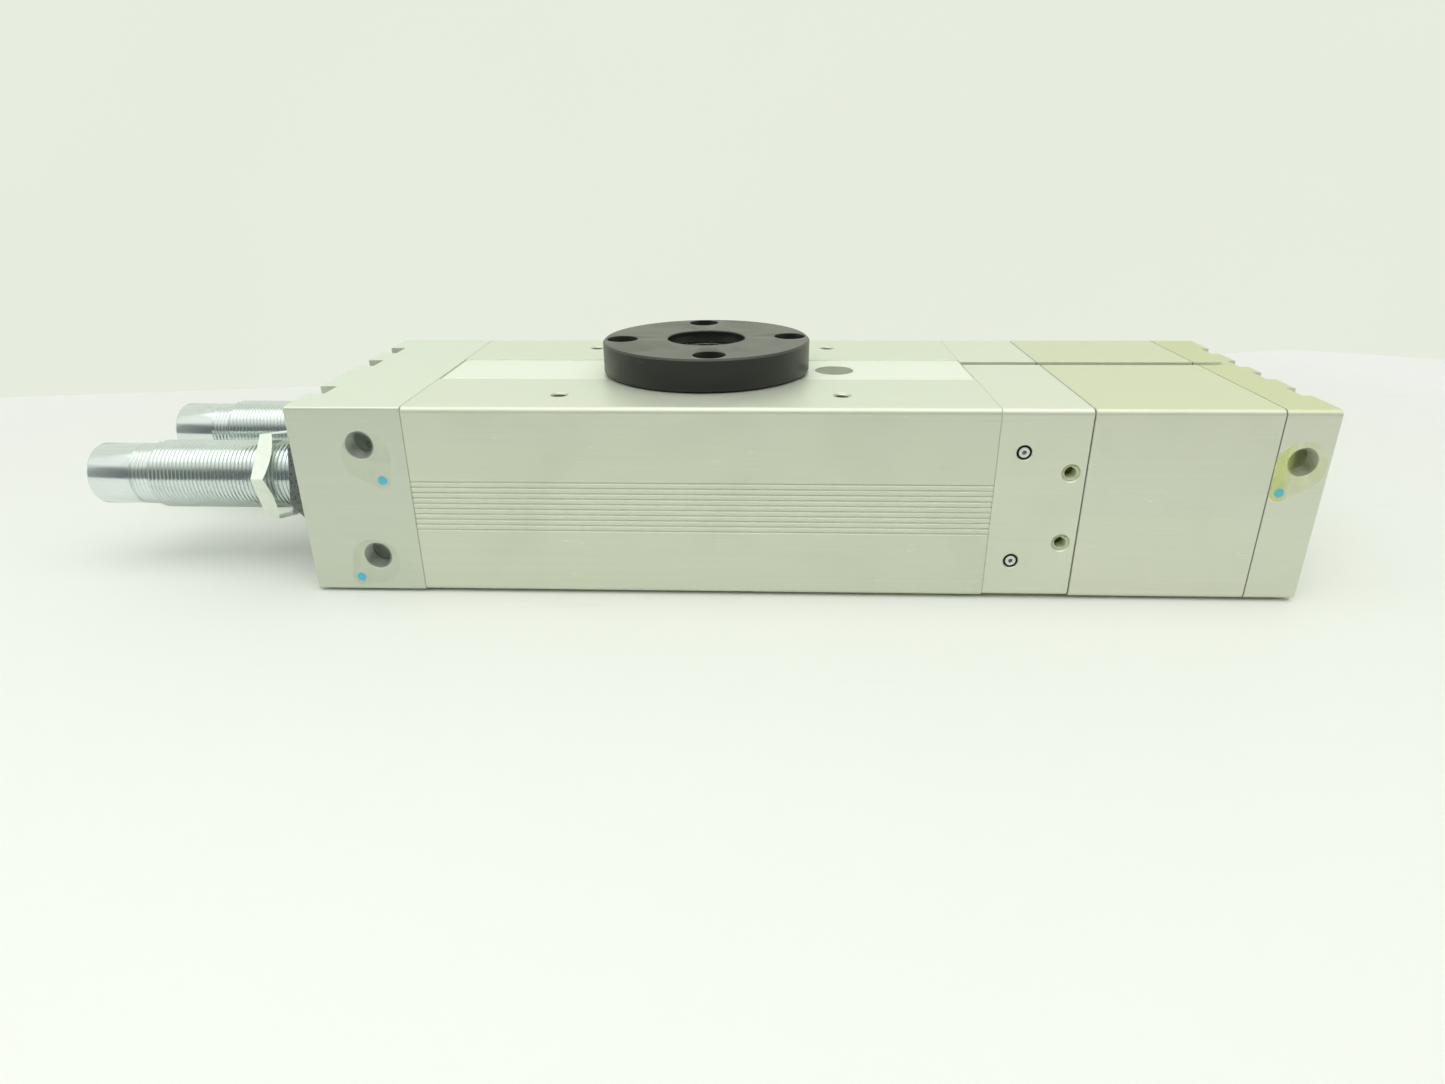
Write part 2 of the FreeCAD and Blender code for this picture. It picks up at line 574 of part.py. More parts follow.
def adapter_plate():
    x0 = X_BODY_RIGHT
    x1 = X_PLATE_RIGHT
    plate = housing_bar(x0, x1, EDGE_RADIUS, SEAM_CHAMFER, PLATE_RIGHT_CHAMFER, PLATE_UNDERCUT)
    parts = [plate]
    cutters = [sensor_slot(X_BODY_RIGHT - BEYOND, X_PLATE_RIGHT + BEYOND)]
    left = X_BODY_RIGHT - REGISTER_LENGTH - BEYOND
    right = X_PLATE_RIGHT + REGISTER_LENGTH + BEYOND
    bush_x0 = X_BODY_RIGHT + BUSH_FROM_BODY
    seal_x0 = bush_x0 + BUSH_LENGTH + ROD_SEAL_GAP
    bush_bore = STOP_ROD_DIAMETER + 2 * BUSH_WALL
    seal_bore = STOP_ROD_DIAMETER + 2 * ROD_SEAL_WALL
    for side in SIDES.values():
        y = side * PISTON_Y
        parts.append(register(X_BODY_RIGHT, -1, PISTON_DIAMETER, y))
        parts.append(register(X_PLATE_RIGHT, 1, STOP_BORE, y))
        cutters.append(rod_x(STOP_ROD_DIAMETER + 2 * STOP_ROD_ROOM, left, right, y, AXIS_HEIGHT))
        cutters.append(rod_x(bush_bore, bush_x0, bush_x0 + BUSH_LENGTH, y, AXIS_HEIGHT))
        cutters.append(rod_x(seal_bore, seal_x0, seal_x0 + ROD_SEAL_LENGTH, y, AXIS_HEIGHT))
    for y, z in screw_places(MODULE_SCREW_Y):
        cutters.append(rod_x(SCREW_HOLE, X_BODY_RIGHT - BEYOND, X_PLATE_RIGHT + BEYOND, y, z))
    port_x = X_PLATE_RIGHT - SMALL_PORT_FROM_MODULE
    for height, side, up in zip(SMALL_PORT_HEIGHTS, (-1, 1), (1, -1)):
        y = side * PISTON_Y
        z = AXIS_HEIGHT + up * feed_reach(STOP_BORE, SMALL_FEED_DIAMETER)
        start = FRONT + SMALL_PORT_DEPTH - BEYOND
        cutters.append(hole_y(SMALL_PORT_DIAMETER, SMALL_PORT_DEPTH, port_x, height, SMALL_PORT_SINK))
        cutters.append(rod_y(SMALL_FEED_DIAMETER, start, y + FEED_OVERRUN, port_x, height))
        cutters.append(rod_x(SMALL_BORE_FEED, port_x - FEED_OVERRUN, right, y, z))
    plug_x = X_BODY_RIGHT + PLUG_SCREW_FROM_BODY
    for height in PLUG_SCREW_HEIGHTS:
        cutters.append(hole_y(PLUG_RING_DIAMETER, PLUG_RING_DEPTH, plug_x, height))
        cutters.append(rod_y(PLUG_SCREW_DIAMETER, FRONT, FRONT + PLUG_SCREW_LENGTH + BEYOND, plug_x, height))
    return without(merged(parts), [merged(cutters)])


def module_housing():
    body = housing_bar(X_PLATE_RIGHT, X_MODULE_RIGHT, EDGE_RADIUS, PLATE_RIGHT_CHAMFER, SEAM_CHAMFER)
    cutters = [sensor_slot(X_PLATE_RIGHT - BEYOND, X_MODULE_RIGHT + BEYOND)]
    for side in SIDES.values():
        y = side * PISTON_Y
        cutters.append(rod_x(STOP_BORE, X_PLATE_RIGHT - BEYOND, X_MODULE_RIGHT + BEYOND, y, AXIS_HEIGHT))
    for y, z in screw_places(MODULE_SCREW_Y):
        cutters.append(rod_x(SCREW_HOLE, X_PLATE_RIGHT - BEYOND, X_MODULE_RIGHT + BEYOND, y, z))
    return without(body, [merged(cutters)])


def module_end_cap():
    cap = housing_bar(X_MODULE_RIGHT, X_CAP_RIGHT, EDGE_RADIUS, SEAM_CHAMFER, SEAM_CHAMFER)
    parts = [cap]
    port_x = X_CAP_RIGHT - MODULE_PORT_FROM_END
    cutters = [hole_y(PORT_DIAMETER, PORT_DEPTH, port_x, MODULE_PORT_HEIGHT), slot_run_out()]
    cutters.extend(slot_lead_in())
    feed_z = AXIS_HEIGHT + feed_reach(STOP_BORE, FEED_DIAMETER)
    far = PISTON_Y + FEED_OVERRUN
    cutters.append(rod_y(FEED_DIAMETER, FRONT + PORT_DEPTH - BEYOND, far, port_x, MODULE_PORT_HEIGHT))
    for side in SIDES.values():
        y = side * PISTON_Y
        parts.append(register(X_MODULE_RIGHT, -1, STOP_BORE, y))
        start = X_MODULE_RIGHT - REGISTER_LENGTH - BEYOND
        cutters.append(rod_x(FEED_DIAMETER, start, port_x + FEED_OVERRUN, y, feed_z))
        cutters.append(feed_link(port_x, y, feed_z, MODULE_PORT_HEIGHT))
    for y, z in screw_places(MODULE_SCREW_Y):
        cutters.append(screw_notch(X_CAP_RIGHT - MODULE_CAP_NOTCH, X_CAP_RIGHT + BEYOND, y, z))
        cutters.append(rod_x(SCREW_HOLE, X_MODULE_RIGHT - BEYOND, X_CAP_RIGHT, y, z))
    return without(merged(parts), [merged(cutters)])


def top_plug():
    top = STRIP_HEIGHT - TOP_PLUG_SUNK
    return rod_z(TOP_PLUG_DIAMETER - 2 * STATIC_FIT, STRIP_HEIGHT - TOP_PLUG_DEPTH, top, TOP_PLUG_X)


def plate_plugs():
    """Throttle screws in the plate's front face, each with a hexagonal socket."""
    x = X_BODY_RIGHT + PLUG_SCREW_FROM_BODY
    screws = []
    for z in PLUG_SCREW_HEIGHTS:
        diameter = PLUG_SCREW_DIAMETER - 2 * STATIC_FIT
        screw = rod_y(diameter, FRONT + PLUG_SCREW_SUNK, FRONT + PLUG_SCREW_LENGTH, x, z)
        socket = rod_y(PLUG_SCREW_SOCKET, FRONT - BEYOND, FRONT + PLUG_SCREW_LENGTH / 2, x, z)
        screws.append(screw.cut(socket))
    return screws


def plate_plug_rings():
    x = X_BODY_RIGHT + PLUG_SCREW_FROM_BODY
    rings = []
    for z in PLUG_SCREW_HEIGHTS:
        mouth = FRONT + PLUG_RING_SUNK
        outside = rod_y(PLUG_RING_DIAMETER - 2 * STATIC_FIT, mouth, FRONT + PLUG_RING_DEPTH, x, z)
        rings.append(outside.cut(rod_y(PLUG_SCREW_DIAMETER, FRONT - BEYOND, FRONT + PLUG_SCREW_LENGTH, x, z)))
    return rings


# --- Output ----------------------------------------------------------------------------------
def involute_angle(radius):
    base = PITCH_RADIUS * math.cos(math.radians(PRESSURE_ANGLE))
    angle = math.acos(min(1.0, base / radius))
    return math.tan(angle) - angle


def flank_point(centre, side, radius):
    """Point on one flank of the tooth at angle centre; side is -1 or +1."""
    half = TOOTH_WIDTH / 2 / PITCH_RADIUS + involute_angle(PITCH_RADIUS) - involute_angle(radius)
    angle = centre + side * half
    return Vector(radius * math.cos(angle), radius * math.sin(angle), 0)


def pinion_outline():
    """Closed wire of involute teeth, with a gap facing each rack at rest."""
    base = PITCH_RADIUS * math.cos(math.radians(PRESSURE_ANGLE))
    middle = (base + TIP_RADIUS) / 2
    step = 2 * math.pi / PINION_TEETH
    edges = []
    for index in range(PINION_TEETH):
        centre = math.pi / 2 + (index + 0.5) * step
        rise = [flank_point(centre, -1, radius) for radius in (base, middle, TIP_RADIUS)]
        fall = [flank_point(centre, 1, radius) for radius in (TIP_RADIUS, middle, base)]
        crown = Vector(TIP_RADIUS * math.cos(centre), TIP_RADIUS * math.sin(centre), 0)
        foot = Vector(rise[0]).multiply(ROOT_RADIUS / base)
        heel = Vector(fall[2]).multiply(ROOT_RADIUS / base)
        gap = centre + step / 2
        valley = Vector(ROOT_RADIUS * math.cos(gap), ROOT_RADIUS * math.sin(gap), 0)
        next_base = flank_point(centre + step, -1, base)
        next_foot = Vector(next_base).multiply(ROOT_RADIUS / base)
        edges.append(Part.LineSegment(foot, rise[0]).toShape())
        edges.append(Part.Arc(*rise).toShape())
        edges.append(Part.Arc(rise[2], crown, fall[0]).toShape())
        edges.append(Part.Arc(*fall).toShape())
        edges.append(Part.LineSegment(fall[2], heel).toShape())
        edges.append(Part.Arc(heel, valley, next_foot).toShape())
    return Part.Wire(Part.__sortEdges__(edges))


def pinion_shaft():
    toothed = Part.Face(pinion_outline()).extrude(Vector(0, 0, PINION_FACE))
    toothed.translate(Vector(0, 0, PINION_BOTTOM))
    lower_top = LOWER_BEARING_HEIGHT + LOWER_BEARING["width"]
    collar = UPPER_SEAT - COLLAR_THICKNESS
    parts = [
        toothed,
        rod_z(SHAFT_LOWER_DIAMETER, SHAFT_BOTTOM_HEIGHT, lower_top + BEYOND),
        rod_z(SHAFT_SHOULDER_DIAMETER, lower_top, PINION_BOTTOM + BEYOND),
        rod_z(2 * ROOT_RADIUS, PINION_TOP - BEYOND, collar + BEYOND),
        rod_z(COLLAR_DIAMETER, collar, UPPER_SEAT),
        rod_z(SHAFT_DIAMETER, collar, SHAFT_TOP),
    ]
    upper_top = UPPER_SEAT + UPPER_BEARING["width"]
    cutters = [
        rod_z(SHAFT_BORE, 0, HEIGHT + FLANGE_THICKNESS + BEYOND),
        circlip_groove(SHAFT_DIAMETER, upper_top, UPPER_CIRCLIP),
        circlip_groove(SHAFT_LOWER_DIAMETER, LOWER_BEARING_HEIGHT - LOWER_CIRCLIP, LOWER_CIRCLIP),
    ]
    cutters.extend(key_cylinders(KEY_DIAMETER + 2 * STATIC_FIT, SHAFT_TOP + BEYOND))
    return without(merged(parts), [merged(cutters)])


def circlip_groove(diameter, z0, width):
    wide = diameter + 2 * BEYOND
    return ring_z(wide, diameter - 2 * CIRCLIP_GROOVE, z0 - 2 * GROOVE_PLAY, z0 + width + 2 * GROOVE_PLAY)


def key_cylinders(diameter, top):
    """Round keys on the joint between shaft and flange, standing between its holes."""
    places = []
    for index in range(FLANGE_HOLES):
        angle = math.radians(FLANGE_TURN + (index + 0.5) * 360 / FLANGE_HOLES)
        x = SHAFT_DIAMETER / 2 * math.cos(angle)
        y = SHAFT_DIAMETER / 2 * math.sin(angle)
        places.append(rod_z(diameter, FLANGE_BOTTOM + KEY_SUNK, top, x, y))
    return places


def output_flange():
    radius = FLANGE_DIAMETER / 2
    chamfer = FLANGE_CHAMFER
    seat = SHAFT_DIAMETER / 2 + STATIC_FIT
    lip = FLANGE_BORE / 2
    outline = [
        (seat, FLANGE_BOTTOM),
        (radius - chamfer, FLANGE_BOTTOM),
        (radius, FLANGE_BOTTOM + chamfer),
        (radius, FLANGE_TOP - chamfer),
        (radius - chamfer, FLANGE_TOP),
        (lip + HOLE_CHAMFER, FLANGE_TOP),
        (lip, FLANGE_TOP - HOLE_CHAMFER),
        (lip, SHAFT_TOP),
        (seat, SHAFT_TOP),
    ]
    cutters = []
    for index in range(FLANGE_HOLES):
        angle = math.radians(FLANGE_TURN + index * 360 / FLANGE_HOLES)
        x = FLANGE_PITCH_CIRCLE / 2 * math.cos(angle)
        y = FLANGE_PITCH_CIRCLE / 2 * math.sin(angle)
        cutters.append(rod_z(FLANGE_THREAD_DIAMETER, FLANGE_BOTTOM - BEYOND, FLANGE_TOP, x, y))
        cutters.append(hole_z(FLANGE_SLEEVE_DIAMETER, FLANGE_TOP, FLANGE_SLEEVE_DEPTH, x, y, -1))
    cutters.extend(key_cylinders(KEY_DIAMETER + 2 * STATIC_FIT, SHAFT_TOP))
    return without(turned_z(outline), [merged(cutters)])


def flange_keys():
    return key_cylinders(KEY_DIAMETER, SHAFT_TOP - GROOVE_PLAY)


def ball_circle(bearing):
    return (bearing["bore"] + bearing["outer"]) / 4


def race(bearing, z_middle):
    groove = BALL_DIAMETER / 2 + RACE_PLAY
    return Part.makeTorus(ball_circle(bearing), groove, Vector(0, 0, z_middle), ALONG_Z)


def bearing_parts(bearing, z0):
    """Inner ring, outer ring and balls of a deep-groove bearing standing on height z0."""
    width = bearing["width"]
    middle = z0 + width / 2
    centre = ball_circle(bearing)
    groove = race(bearing, middle)
    inner = ring_z(2 * (centre - RACE_LAND), bearing["bore"], z0, z0 + width).cut(groove)
    outer = ring_z(bearing["outer"], 2 * (centre + RACE_LAND), z0, z0 + width).cut(groove)
    balls = []
    for index in range(bearing["balls"]):
        angle = 2 * math.pi * index / bearing["balls"]
        place = Vector(centre * math.cos(angle), centre * math.sin(angle), middle)
        balls.append(Part.makeSphere(BALL_DIAMETER / 2, place))
    return inner, outer, balls


def circlip(inner, outer, z0, thickness):
    """Open retaining ring about the output axis, its gap facing +X."""
    spread = outer * math.tan(math.radians(CIRCLIP_GAP_ANGLE / 2))
    corners = [Vector(0, 0, z0), Vector(outer, -spread, z0), Vector(outer, spread, z0)]
    gap = Part.Face(Part.makePolygon(corners + corners[:1])).extrude(Vector(0, 0, thickness))
    return ring_z(outer, inner, z0, z0 + thickness).cut(gap)


def circlips():
    play = 2 * GROOVE_PLAY
    reach = 2 * CIRCLIP_GROOVE - play
    show = 2 * CIRCLIP_SHOW
    upper = UPPER_SEAT + UPPER_BEARING["width"] + GROOVE_PLAY
    lower = LOWER_BEARING_HEIGHT - LOWER_CIRCLIP - GROOVE_PLAY
    return {
        "upper_housing_circlip": circlip(
            UPPER_BEARING["outer"] - show, UPPER_BEARING["outer"] + reach, upper, UPPER_CIRCLIP
        ),
        "upper_shaft_circlip": circlip(SHAFT_DIAMETER - reach, SHAFT_DIAMETER + show, upper, UPPER_CIRCLIP),
        "lower_housing_circlip": circlip(
            LOWER_BEARING["outer"] - show, LOWER_BEARING["outer"] + reach, lower, LOWER_CIRCLIP
        ),
        "lower_shaft_circlip": circlip(
            SHAFT_LOWER_DIAMETER - reach, SHAFT_LOWER_DIAMETER + show, lower, LOWER_CIRCLIP
        ),
    }


def shaft_seal():
    top = STRIP_HEIGHT - SEAL_BELOW_STRIP
    outer = UPPER_BEARING["outer"] - 2 * STATIC_FIT
    return ring_z(outer, SHAFT_DIAMETER + 2 * RUNNING_FIT, top - SHAFT_SEAL_WIDTH, top)


# --- Rack pistons ----------------------------------------------------------------------------
def piston_ring(side, end, start, width, depth, reach, play=0.0):
    """Ring round a piston; start is its distance from the end at X = end * PISTON_HALF."""
    near = PISTON_HALF - start
    x0, x1 = sorted((end * (near - width - play), end * (near + play)))
    inner = PISTON_DIAMETER - 2 * depth - 2 * play
    return ring_x(PISTON_DIAMETER + 2 * reach, inner, x0, x1, side * PISTON_Y, AXIS_HEIGHT)


def rack_cutter(side):
    """What a rack's teeth leave free, from their tips down to their roots."""
    pitch = math.pi * GEAR_MODULE
    slope = math.tan(math.radians(PRESSURE_ANGLE))
    root = DEDENDUM_FACTOR * GEAR_MODULE
    half_root = TOOTH_WIDTH / 2 + root * slope
    half_tip = TOOTH_WIDTH / 2 - GEAR_MODULE * slope
    outline = [(-RELIEF_HALF, PISTON_RADIUS), (-RELIEF_HALF, RACK_OFFSET - root)]
    for index in range(RACK_TEETH):
        x = (index - (RACK_TEETH - 1) / 2) * pitch
        outline.append((x - half_root, RACK_OFFSET - root))
        outline.append((x - half_tip, RACK_OFFSET + GEAR_MODULE))
        outline.append((x + half_tip, RACK_OFFSET + GEAR_MODULE))
        outline.append((x + half_root, RACK_OFFSET - root))
    outline += [(RELIEF_HALF, RACK_OFFSET - root), (RELIEF_HALF, PISTON_RADIUS)]
    low = AXIS_HEIGHT - PISTON_RADIUS - BEYOND
    corners = [Vector(x, side * (PISTON_Y - out), low) for x, out in outline]
    face = Part.Face(Part.makePolygon(corners + corners[:1]))
    return face.extrude(Vector(0, 0, PISTON_DIAMETER + 2 * BEYOND))


def piston_rings(side, reach, play=0.0):
    """Seals and guide bands of one piston, or with reach and play the grooves that hold them."""
    band_start = 2 * PISTON_LAND + SEAL_WIDTH
    seals = [piston_ring(side, end, PISTON_LAND, SEAL_WIDTH, SEAL_DEPTH, reach, play) for end in (-1, 1)]
    bands = [piston_ring(side, end, band_start, BAND_WIDTH, BAND_DEPTH, reach, play) for end in (-1, 1)]
    return seals, bands


def magnet(side, play=0.0, reach=-MAGNET_SUNK):
    """Disc magnet in the piston's +X end."""
    x0 = PISTON_HALF - MAGNET_SUNK - MAGNET_LENGTH - play
    return rod_x(MAGNET_DIAMETER + 2 * play, x0, PISTON_HALF + reach, side * PISTON_Y, AXIS_HEIGHT)


def rack_piston(side):
    half = PISTON_HALF
    radius = PISTON_RADIUS - PISTON_CLEARANCE
    chamfer = PISTON_END_CHAMFER
    outline = [
        (-half, 0),
        (-half, radius - chamfer),
        (-half + chamfer, radius),
        (half - chamfer, radius),
        (half, radius - chamfer),
        (half, 0),
    ]
    seal_grooves, band_grooves = piston_rings(side, BEYOND, GROOVE_PLAY)
    cutters = [rack_cutter(side), magnet(side, STATIC_FIT, BEYOND)] + seal_grooves + band_grooves
    return without(turned_x(outline, side * PISTON_Y, AXIS_HEIGHT), [merged(cutters)])


def piston_pieces(name, side):
    seals, bands = piston_rings(side, -RING_CLEARANCE)
    return {
        name + "_rack_piston": rack_piston(side),
        name + "_piston_seals": seals,
        name + "_guide_bands": bands,
        name + "_piston_magnet": magnet(side),
    }


# --- Shock absorbers -------------------------------------------------------------------------
def thread_outline(x0, turns, crest, depth):
    """Ridges of an outer thread as (x, radius) pairs, starting at x0."""
    rise = THREAD_RISE * ABSORBER_PITCH
    flat = THREAD_CREST * ABSORBER_PITCH
    points = []
    for index in range(turns):
        x = x0 + index * ABSORBER_PITCH
        points += [(x, crest - depth), (x + rise, crest), (x + rise + flat, crest)]
    return points


def absorber_pieces(name, side):
    """One shock absorber: body, gland, pressure tube, buffer with its rod, and return spring."""
    y = side * PISTON_Y
    z = AXIS_HEIGHT
    tip = -PISTON_LIMIT - BUFFER_TIP_GAP - ABSORBER_BACK[name]
    mouth = tip - BUFFER_PAD_LENGTH - BUFFER_STROKE - RUNNING_FIT
    outer_end = mouth - ABSORBER_LENGTH
    smooth = ABSORBER_SMOOTH_DIAMETER / 2
    crest = ABSORBER_DIAMETER / 2
    thread_start = outer_end + ABSORBER_SMOOTH_LENGTH
    step = thread_start + ABSORBER_RUN_IN_TURNS * ABSORBER_PITCH
    thread_end = step + ABSORBER_THREAD_TURNS * ABSORBER_PITCH
    chamfer = ABSORBER_CHAMFER
    outline = [(outer_end, 0), (outer_end, smooth - chamfer), (outer_end + chamfer, smooth)]
    outline.append((thread_start, smooth))
    outline += thread_outline(thread_start, ABSORBER_RUN_IN_TURNS, smooth, ABSORBER_RUN_IN_DEPTH)
    outline += thread_outline(step, ABSORBER_THREAD_TURNS, crest, ABSORBER_THREAD_DEPTH)
    outline += [(thread_end, crest - ABSORBER_THREAD_DEPTH), (thread_end + chamfer, crest)]
    outline += [(mouth - chamfer, crest), (mouth, crest - chamfer), (mouth, 0)]
    body = turned_x(outline, y, z)
    tube_end = mouth - GLAND_LENGTH
    tube_start = tube_end - TUBE_LENGTH
    socket_floor = outer_end + ABSORBER_SOCKET_DEPTH
    socket = hexagon_x(ABSORBER_SOCKET, outer_end - BEYOND, socket_floor, y, z, 0)
    body = without(body, [rod_x(GLAND_DIAMETER, tube_start, mouth + BEYOND, y, z), socket])

    tube_outer = GLAND_DIAMETER - 2 * STATIC_FIT
    tube = rod_x(tube_outer, tube_start, tube_end, y, z)
    drillings = [rod_x(TUBE_INNER_DIAMETER, tube_start + TUBE_FLOOR, tube_end + BEYOND, y, z)]
    for index in range(METERING_HOLES):
        x = tube_end - DAMPER_LENGTH - (index + 1) * BUFFER_STROKE / METERING_HOLES
        drillings.append(rod_z(METERING_HOLE, z, z + GLAND_DIAMETER, x, y))
    tube = without(tube, drillings)

    rod_bore = BUFFER_ROD_DIAMETER + 2 * RUNNING_FIT
    gland = ring_x(tube_outer, rod_bore, tube_end, mouth, y, z)
    damper_front = tube_end - DAMPER_GAP
    damper_back = damper_front - DAMPER_LENGTH
    rod = merged([
        rod_x(BUFFER_ROD_DIAMETER, damper_back, tip - BUFFER_PAD_LENGTH / 2, y, z),
        rod_x(TUBE_INNER_DIAMETER - 2 * RUNNING_FIT, damper_back, damper_front, y, z),
    ])
    pad = rod_x(BUFFER_PAD_DIAMETER, tip - BUFFER_PAD_LENGTH, tip, y, z)
    pocket = rod_x(BUFFER_ROD_DIAMETER, tip - BUFFER_PAD_LENGTH - BEYOND, tip - BUFFER_PAD_LENGTH / 2, y, z)
    spring_room = SPRING_WIRE / 2 + RUNNING_FIT
    spring = coil(tube_start + TUBE_FLOOR + spring_room, damper_back - spring_room, y, z)
    return {
        name + "_absorber_body": body,
        name + "_absorber_gland": gland,
        name + "_pressure_tube": tube,
        name + "_buffer_rod": rod,
        name + "_buffer_pad": pad.cut(pocket),
        name + "_return_spring": spring,
    }


def coil(x0, x1, y, z):
    """Round-wire compression spring along X between two end planes."""
    path = Part.makeHelix(SPRING_PITCH, x1 - x0, SPRING_DIAMETER / 2)
    section = Part.Wire(Part.makeCircle(SPRING_WIRE / 2, Vector(SPRING_DIAMETER / 2, 0, 0), ALONG_Y))
    wire = Part.Wire(path).makePipeShell([section], True, True)
    wire.rotate(Vector(0, 0, 0), ALONG_Y, 90)
    wire.translate(Vector(x0, y, z))
    return wire


def hex_collar(wall, x0, x1, y, corner_turn, chamfered):
    """Hexagonal ring on an absorber; chamfered takes its corners down at both faces."""
    across_flats = ABSORBER_DIAMETER + 2 * wall
    prism = hexagon_x(across_flats, x0, x1, y, AXIS_HEIGHT, corner_turn)
    if chamfered:
        corner = across_flats / math.sqrt(3)
        flat = across_flats / 2 * HEX_FACE_SHARE
        drop = (corner - flat) * math.tan(math.radians(HEX_CORNER_CHAMFER))
        outline = [(x0, 0), (x0, flat), (x0 + drop, corner), (x1 - drop, corner), (x1, flat), (x1, 0)]
        prism = prism.common(turned_x(outline, y, AXIS_HEIGHT))
    bore = ABSORBER_DIAMETER + 2 * RUNNING_FIT
    return prism.cut(rod_x(bore, x0 - BEYOND, x1 + BEYOND, y, AXIS_HEIGHT))


def stop_sleeves():
    x1 = X_CAP_LEFT
    x0 = x1 - SLEEVE_LENGTH
    turn = SLEEVE_TURN + 30
    return [hex_collar(SLEEVE_WALL, x0, x1, side * PISTON_Y, turn, False) for side in SIDES.values()]


def lock_nuts():
    x1 = X_CAP_LEFT - SLEEVE_LENGTH - NUT_GAP
    x0 = x1 - NUT_LENGTH
    return [hex_collar(NUT_WALL, x0, x1, side * PISTON_Y, NUT_TURN, True) for side in SIDES.values()]


# --- Stop module -----------------------------------------------------------------------------
def stop_piston_place():
    """X of the retracted stop piston's left and right faces."""
    right = X_MODULE_RIGHT - REGISTER_LENGTH - BUMPER_THICKNESS - BUMPER_GAP
    return right - STOP_PISTON_LENGTH, right


def stop_piston(side):
    left, right = stop_piston_place()
    tip = X_BODY_RIGHT - STOP_ROD_INSET
    rod = STOP_ROD_DIAMETER / 2
    head = STOP_BORE / 2 - STOP_PISTON_CLEARANCE
    chamfer = STOP_ROD_CHAMFER
    groove = (left + right - SEAL_WIDTH) / 2
    floor = STOP_BORE / 2 - SEAL_DEPTH
    outline = [
        (tip, 0),
        (tip, rod - chamfer),
        (tip + chamfer, rod),
        (left, rod),
        (left, head),
        (groove, head),
        (groove, floor),
        (groove + SEAL_WIDTH, floor),
        (groove + SEAL_WIDTH, head),
        (right, head),
        (right, 0),
    ]
    return turned_x(outline, side * PISTON_Y, AXIS_HEIGHT)


def stop_piston_seal(side):
    left, right = stop_piston_place()
    x0 = (left + right - SEAL_WIDTH) / 2 + GROOVE_PLAY
    x1 = x0 + SEAL_WIDTH - 2 * GROOVE_PLAY
    outer = STOP_BORE - 2 * RING_CLEARANCE
    inner = STOP_BORE - 2 * SEAL_DEPTH + GROOVE_PLAY
    return ring_x(outer, inner, x0, x1, side * PISTON_Y, AXIS_HEIGHT)


def plate_sleeve(start, length, wall):
    """One ring round each stop rod, seated in the plate."""
    x0 = X_BODY_RIGHT + start
    inner = STOP_ROD_DIAMETER + 2 * RUNNING_FIT
    outer = STOP_ROD_DIAMETER + 2 * wall
    return [ring_x(outer, inner, x0, x0 + length, side * PISTON_Y, AXIS_HEIGHT) for side in SIDES.values()]


def stop_bumpers():
    x1 = X_MODULE_RIGHT - REGISTER_LENGTH
    x0 = x1 - BUMPER_THICKNESS
    return [rod_x(BUMPER_DIAMETER, x0, x1, side * PISTON_Y, AXIS_HEIGHT) for side in SIDES.values()]


def both_orings(x_face, towards, bore):
    return [oring(x_face, towards, bore, side * PISTON_Y) for side in SIDES.values()]


# --- The whole drive -------------------------------------------------------------------------
def all_nodes():
    upper_inner, upper_outer, upper_balls = bearing_parts(UPPER_BEARING, UPPER_SEAT)
    lower_inner, lower_outer, lower_balls = bearing_parts(LOWER_BEARING, LOWER_BEARING_HEIGHT)
    nodes = {
        "main_housing": main_housing(),
        "absorber_end_cap": absorber_end_cap(),
        "adapter_plate": adapter_plate(),
        "module_housing": module_housing(),
        "module_end_cap": module_end_cap(),
        "absorber_cap_screws": absorber_cap_screws(),
        "module_cap_screws": module_cap_screws(),
        "stop_sleeves": stop_sleeves(),
        "lock_nuts": lock_nuts(),
        "top_plug": top_plug(),
        "plate_plugs": plate_plugs(),
        "plate_plug_rings": plate_plug_rings(),
        "absorber_cap_seals": both_orings(X_BODY_LEFT, 1, PISTON_DIAMETER),
        "plate_body_seals": both_orings(X_BODY_RIGHT, -1, PISTON_DIAMETER),
        "plate_module_seals": both_orings(X_PLATE_RIGHT, 1, STOP_BORE),
        "module_cap_seals": both_orings(X_MODULE_RIGHT, -1, STOP_BORE),
        "stop_rod_bushes": plate_sleeve(BUSH_FROM_BODY, BUSH_LENGTH, BUSH_WALL),
        "stop_rod_seals": plate_sleeve(
            BUSH_FROM_BODY + BUSH_LENGTH + ROD_SEAL_GAP, ROD_SEAL_LENGTH, ROD_SEAL_WALL
        ),
        "stop_bumpers": stop_bumpers(),
        "shaft_seal": shaft_seal(),
        "upper_bearing_outer_ring": upper_outer,
        "upper_bearing_inner_ring": upper_inner,
        "upper_bearing_balls": upper_balls,
        "lower_bearing_outer_ring": lower_outer,
        "lower_bearing_inner_ring": lower_inner,
        "lower_bearing_balls": lower_balls,
        "pinion_shaft": pinion_shaft(),
        "output_flange": output_flange(),
        "flange_keys": flange_keys(),
    }
    nodes.update(circlips())
    for name, side in SIDES.items():
        nodes.update(piston_pieces(name, side))
        nodes.update(absorber_pieces(name, side))
        nodes[name + "_stop_piston"] = stop_piston(side)
        nodes[name + "_stop_piston_seal"] = stop_piston_seal(side)
    return nodes


def export(name, shape):
    pieces = shape if isinstance(shape, list) else shape.Solids
    whole = pieces[0] if len(pieces) == 1 else Part.makeCompound(pieces)
    whole.exportStep("parts/" + name + ".step")
    print(name, len(pieces), "solid(s)", round(whole.Volume, 1), "mm3", whole.isValid())


os.makedirs("parts", exist_ok=True)
for node_name, node_shape in all_nodes().items():
    export(node_name, node_shape)
